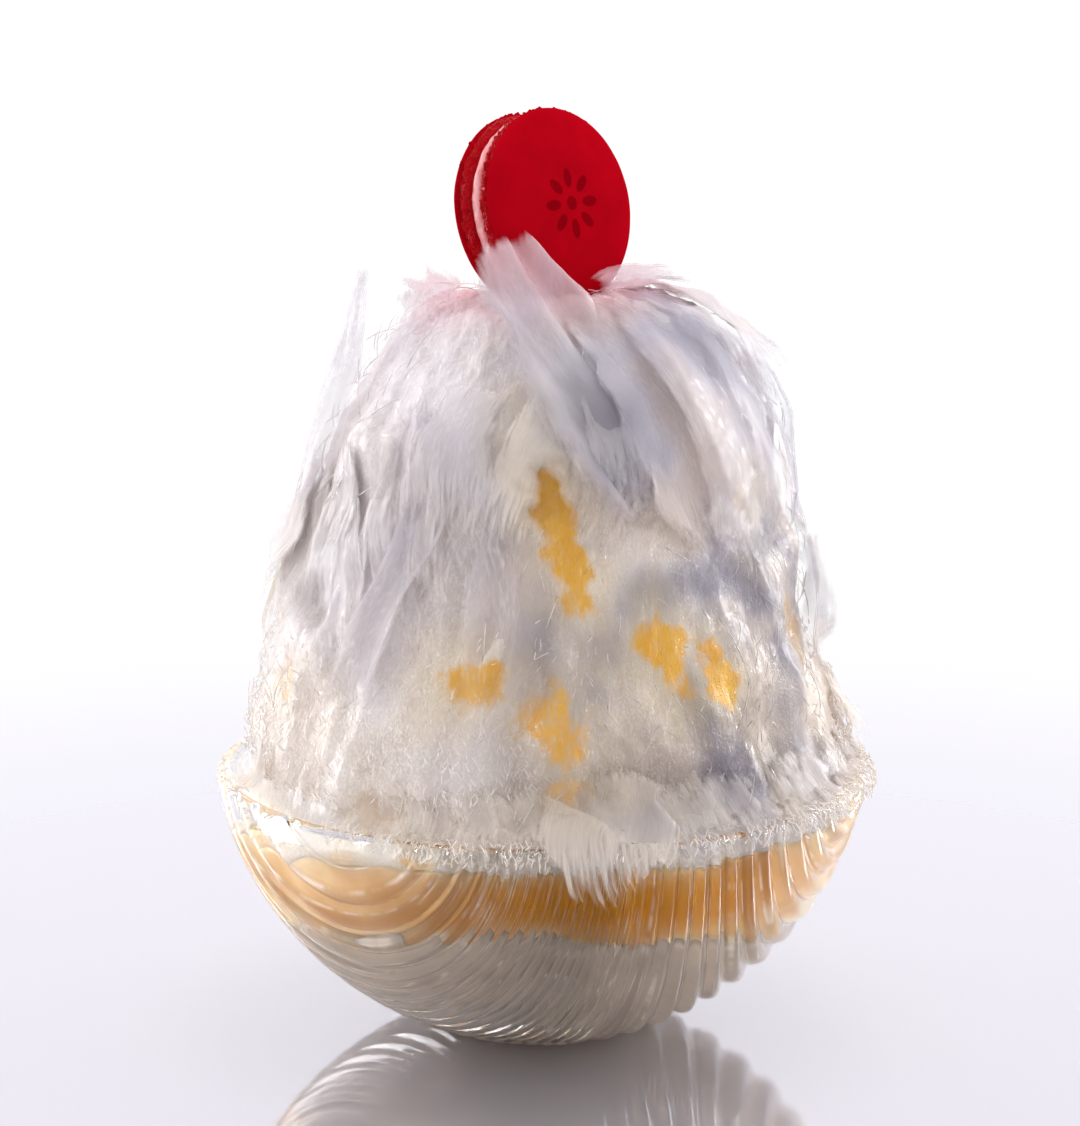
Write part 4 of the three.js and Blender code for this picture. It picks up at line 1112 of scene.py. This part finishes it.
# Butter cream filling, pressed out to a soft uneven edge between the shells: pale, matt and even.
filling, tree = new_material("pink_butter_cream")
grain = node(tree, "ShaderNodeAttribute", out="Vector", attribute_name="grain")
speckle = node(tree, "ShaderNodeTexNoise", {"Vector": grain, "Scale": 1.1, "Detail": 3.0}, "Fac")
tone = node(tree, "ShaderNodeMix", {0: speckle, 6: "E07C7C", 7: "F4AEAE"}, 2, data_type="RGBA")
bump = node(tree, "ShaderNodeBump", {
    "Height": speckle, "Strength": 0.5, "Distance": 0.4 * MM}, "Normal")
surface = node(tree, "ShaderNodeBsdfPrincipled", {
    "Base Color": tone, "Roughness": 0.55, "IOR": 1.4, "Subsurface Weight": 0.3,
    "Subsurface Scale": 2 * MM, "Normal": bump}, "BSDF")
node(tree, "ShaderNodeOutputMaterial", {"Surface": surface})

filling_rings = []
for reach, height in [(0, -1.45), (10, -1.45), (18.6, -1.45), (20, -1.2), (20.4, -0.6), (20.5, 0),
                      (20.4, 0.6), (20, 1.2), (18.6, 1.45), (10, 1.45), (0, 1.45)]:
    flat = ring(reach, height)
    if reach > 19:
        uneven = 1 + 0.45 * fractal(flat, 4, 2, 30) / reach
        flat = flat * np.column_stack([uneven, uneven, np.ones(len(flat))])
    filling_rings.append(flat)
first, *between, last = filling_rings
grain = np.concatenate([[first.mean(0)], *between, [last.mean(0)]])
filling_piece = round_piece("macaron_filling_cream", posed(filling_rings), filling, grain=grain)
stand_for(filling_piece, "macaron_filling", "macaron_filling")

# ---- The studio -------------------------------------------------------------------------------
# A pale lacquered table top that fades into a bright white room, lit from behind and from the left,
# with a weak fill from the front.

TABLE_RADIUS = 1.4
TABLE_FADES = (0.15, 0.5)  # from and to this distance from the bowl's axis

# Lacquered metal: it mirrors the bowl clearly and is itself a light grey.
table_material, tree = new_material("lacquered_metal_table")
place = node(tree, "ShaderNodeTexCoord", out="Object")
distance = node(tree, "ShaderNodeVectorMath", (place,), "Value", operation="LENGTH")
fade = node(tree, "ShaderNodeMapRange", (distance, *TABLE_FADES), 0,
            interpolation_type="SMOOTHSTEP")
surface = node(tree, "ShaderNodeBsdfPrincipled", {
    "Base Color": "CECCD2", "Metallic": 0.55, "Roughness": 0.06, "IOR": 1.8}, "BSDF")
clear = node(tree, "ShaderNodeBsdfTransparent", out="BSDF")
faded = node(tree, "ShaderNodeMixShader", (fade, surface, clear), "Shader")
node(tree, "ShaderNodeOutputMaterial", {"Surface": faded})
table_points = [(TABLE_RADIUS * math.cos(a), TABLE_RADIUS * math.sin(a), -0.02 * MM) for a in turn]
table = make_piece("table", table_points, [range(ROUND)], table_material)

world = bpy.data.worlds.new("white_room")
bpy.context.scene.world = world
world.use_nodes = True
tree = world.node_tree
tree.nodes.clear()
way = node(tree, "ShaderNodeTexCoord", out="Generated")
back = node(tree, "ShaderNodeSeparateXYZ", (way,), "Y")
# the room is brighter behind than in front; what glass and ice mirror of its front is darker still,
# since it has no lamps
lit, mirrored = [node(tree, "ShaderNodeMapRange", (back, -0.7, 0.8, front, 1.35), 0,
                      interpolation_type="SMOOTHSTEP") for front in (0.84, 0.3)]
ray = node(tree, "ShaderNodeLightPath").outputs
strength = node(tree, "ShaderNodeMix", {0: ray["Is Glossy Ray"], 2: lit, 3: mirrored}, 0)
room = node(tree, "ShaderNodeBackground", ("F8F7FC", strength), 0)
white = node(tree, "ShaderNodeBackground", ("FFFFFF", 1.05), 0)
mixed = node(tree, "ShaderNodeMixShader", (ray["Is Camera Ray"], room, white), "Shader")
node(tree, "ShaderNodeOutputWorld", {"Surface": mixed})


def soft_box(name, place, aim, width, height, watts, colour):
    light = bpy.data.lights.new(name, "AREA")
    light.shape, light.size, light.size_y = "RECTANGLE", width, height
    light.energy, light.color = watts, linear(colour)[:3]
    made = bpy.data.objects.new(name, light)
    made.location = place
    made.rotation_euler = (Vector(aim) - Vector(place)).to_track_quat("-Z", "Y").to_euler()
    bpy.context.scene.collection.objects.link(made)
    return made


soft_box("back_left_box", (-0.9, 0.35, 0.5), (0, 0, 0.1), 0.6, 0.6, 1.5, "FFFFFF")
soft_box("back_right_box", (0.9, 0.4, 0.35), (0, 0, 0.1), 0.5, 0.6, 1.2, "FFFFFF")
soft_box("top_box", (0.1, 0.1, 0.95), (0, 0, 0.1), 0.5, 0.5, 2, "FFFFFF")
# strips that only the glass and the wet ice mirror
for side, place, watts in [("left", (-0.75, -0.45, 0.3), 12.0), ("right", (0.8, -0.3, 0.3), 12.0),
                           ("right_back", (0.7, 0.45, 0.3), 14.0),
                           ("left_back", (-0.75, 0.4, 0.2), 14.0)]:
    strip = soft_box(side + "_strip", place, (0, 0, 0.05), 0.15, 0.5, watts, "FFFFFF")
    strip.visible_diffuse = False

EYE_DISTANCE = 1.0
EYE_HEIGHT_ANGLE = math.radians(12.5)
LENS = 142.9
target = Vector((-0.4 * MM, 0, 105.6 * MM))
camera = bpy.data.objects.new("camera", bpy.data.cameras.new("camera"))
camera.data.lens = LENS
camera.data.sensor_width = 36
from_target = Vector((0, -math.cos(EYE_HEIGHT_ANGLE), math.sin(EYE_HEIGHT_ANGLE)))
camera.location = target + EYE_DISTANCE * from_target
camera.rotation_euler = (math.pi / 2 - EYE_HEIGHT_ANGLE, 0, 0)
bpy.context.scene.collection.objects.link(camera)
bpy.context.scene.camera = camera
bpy.context.scene.view_settings.view_transform = "Standard"
# a ray may pass many thin sheets of ice
bpy.context.scene.cycles.transparent_max_bounces = 64
bpy.context.scene.cycles.diffuse_bounces = 5
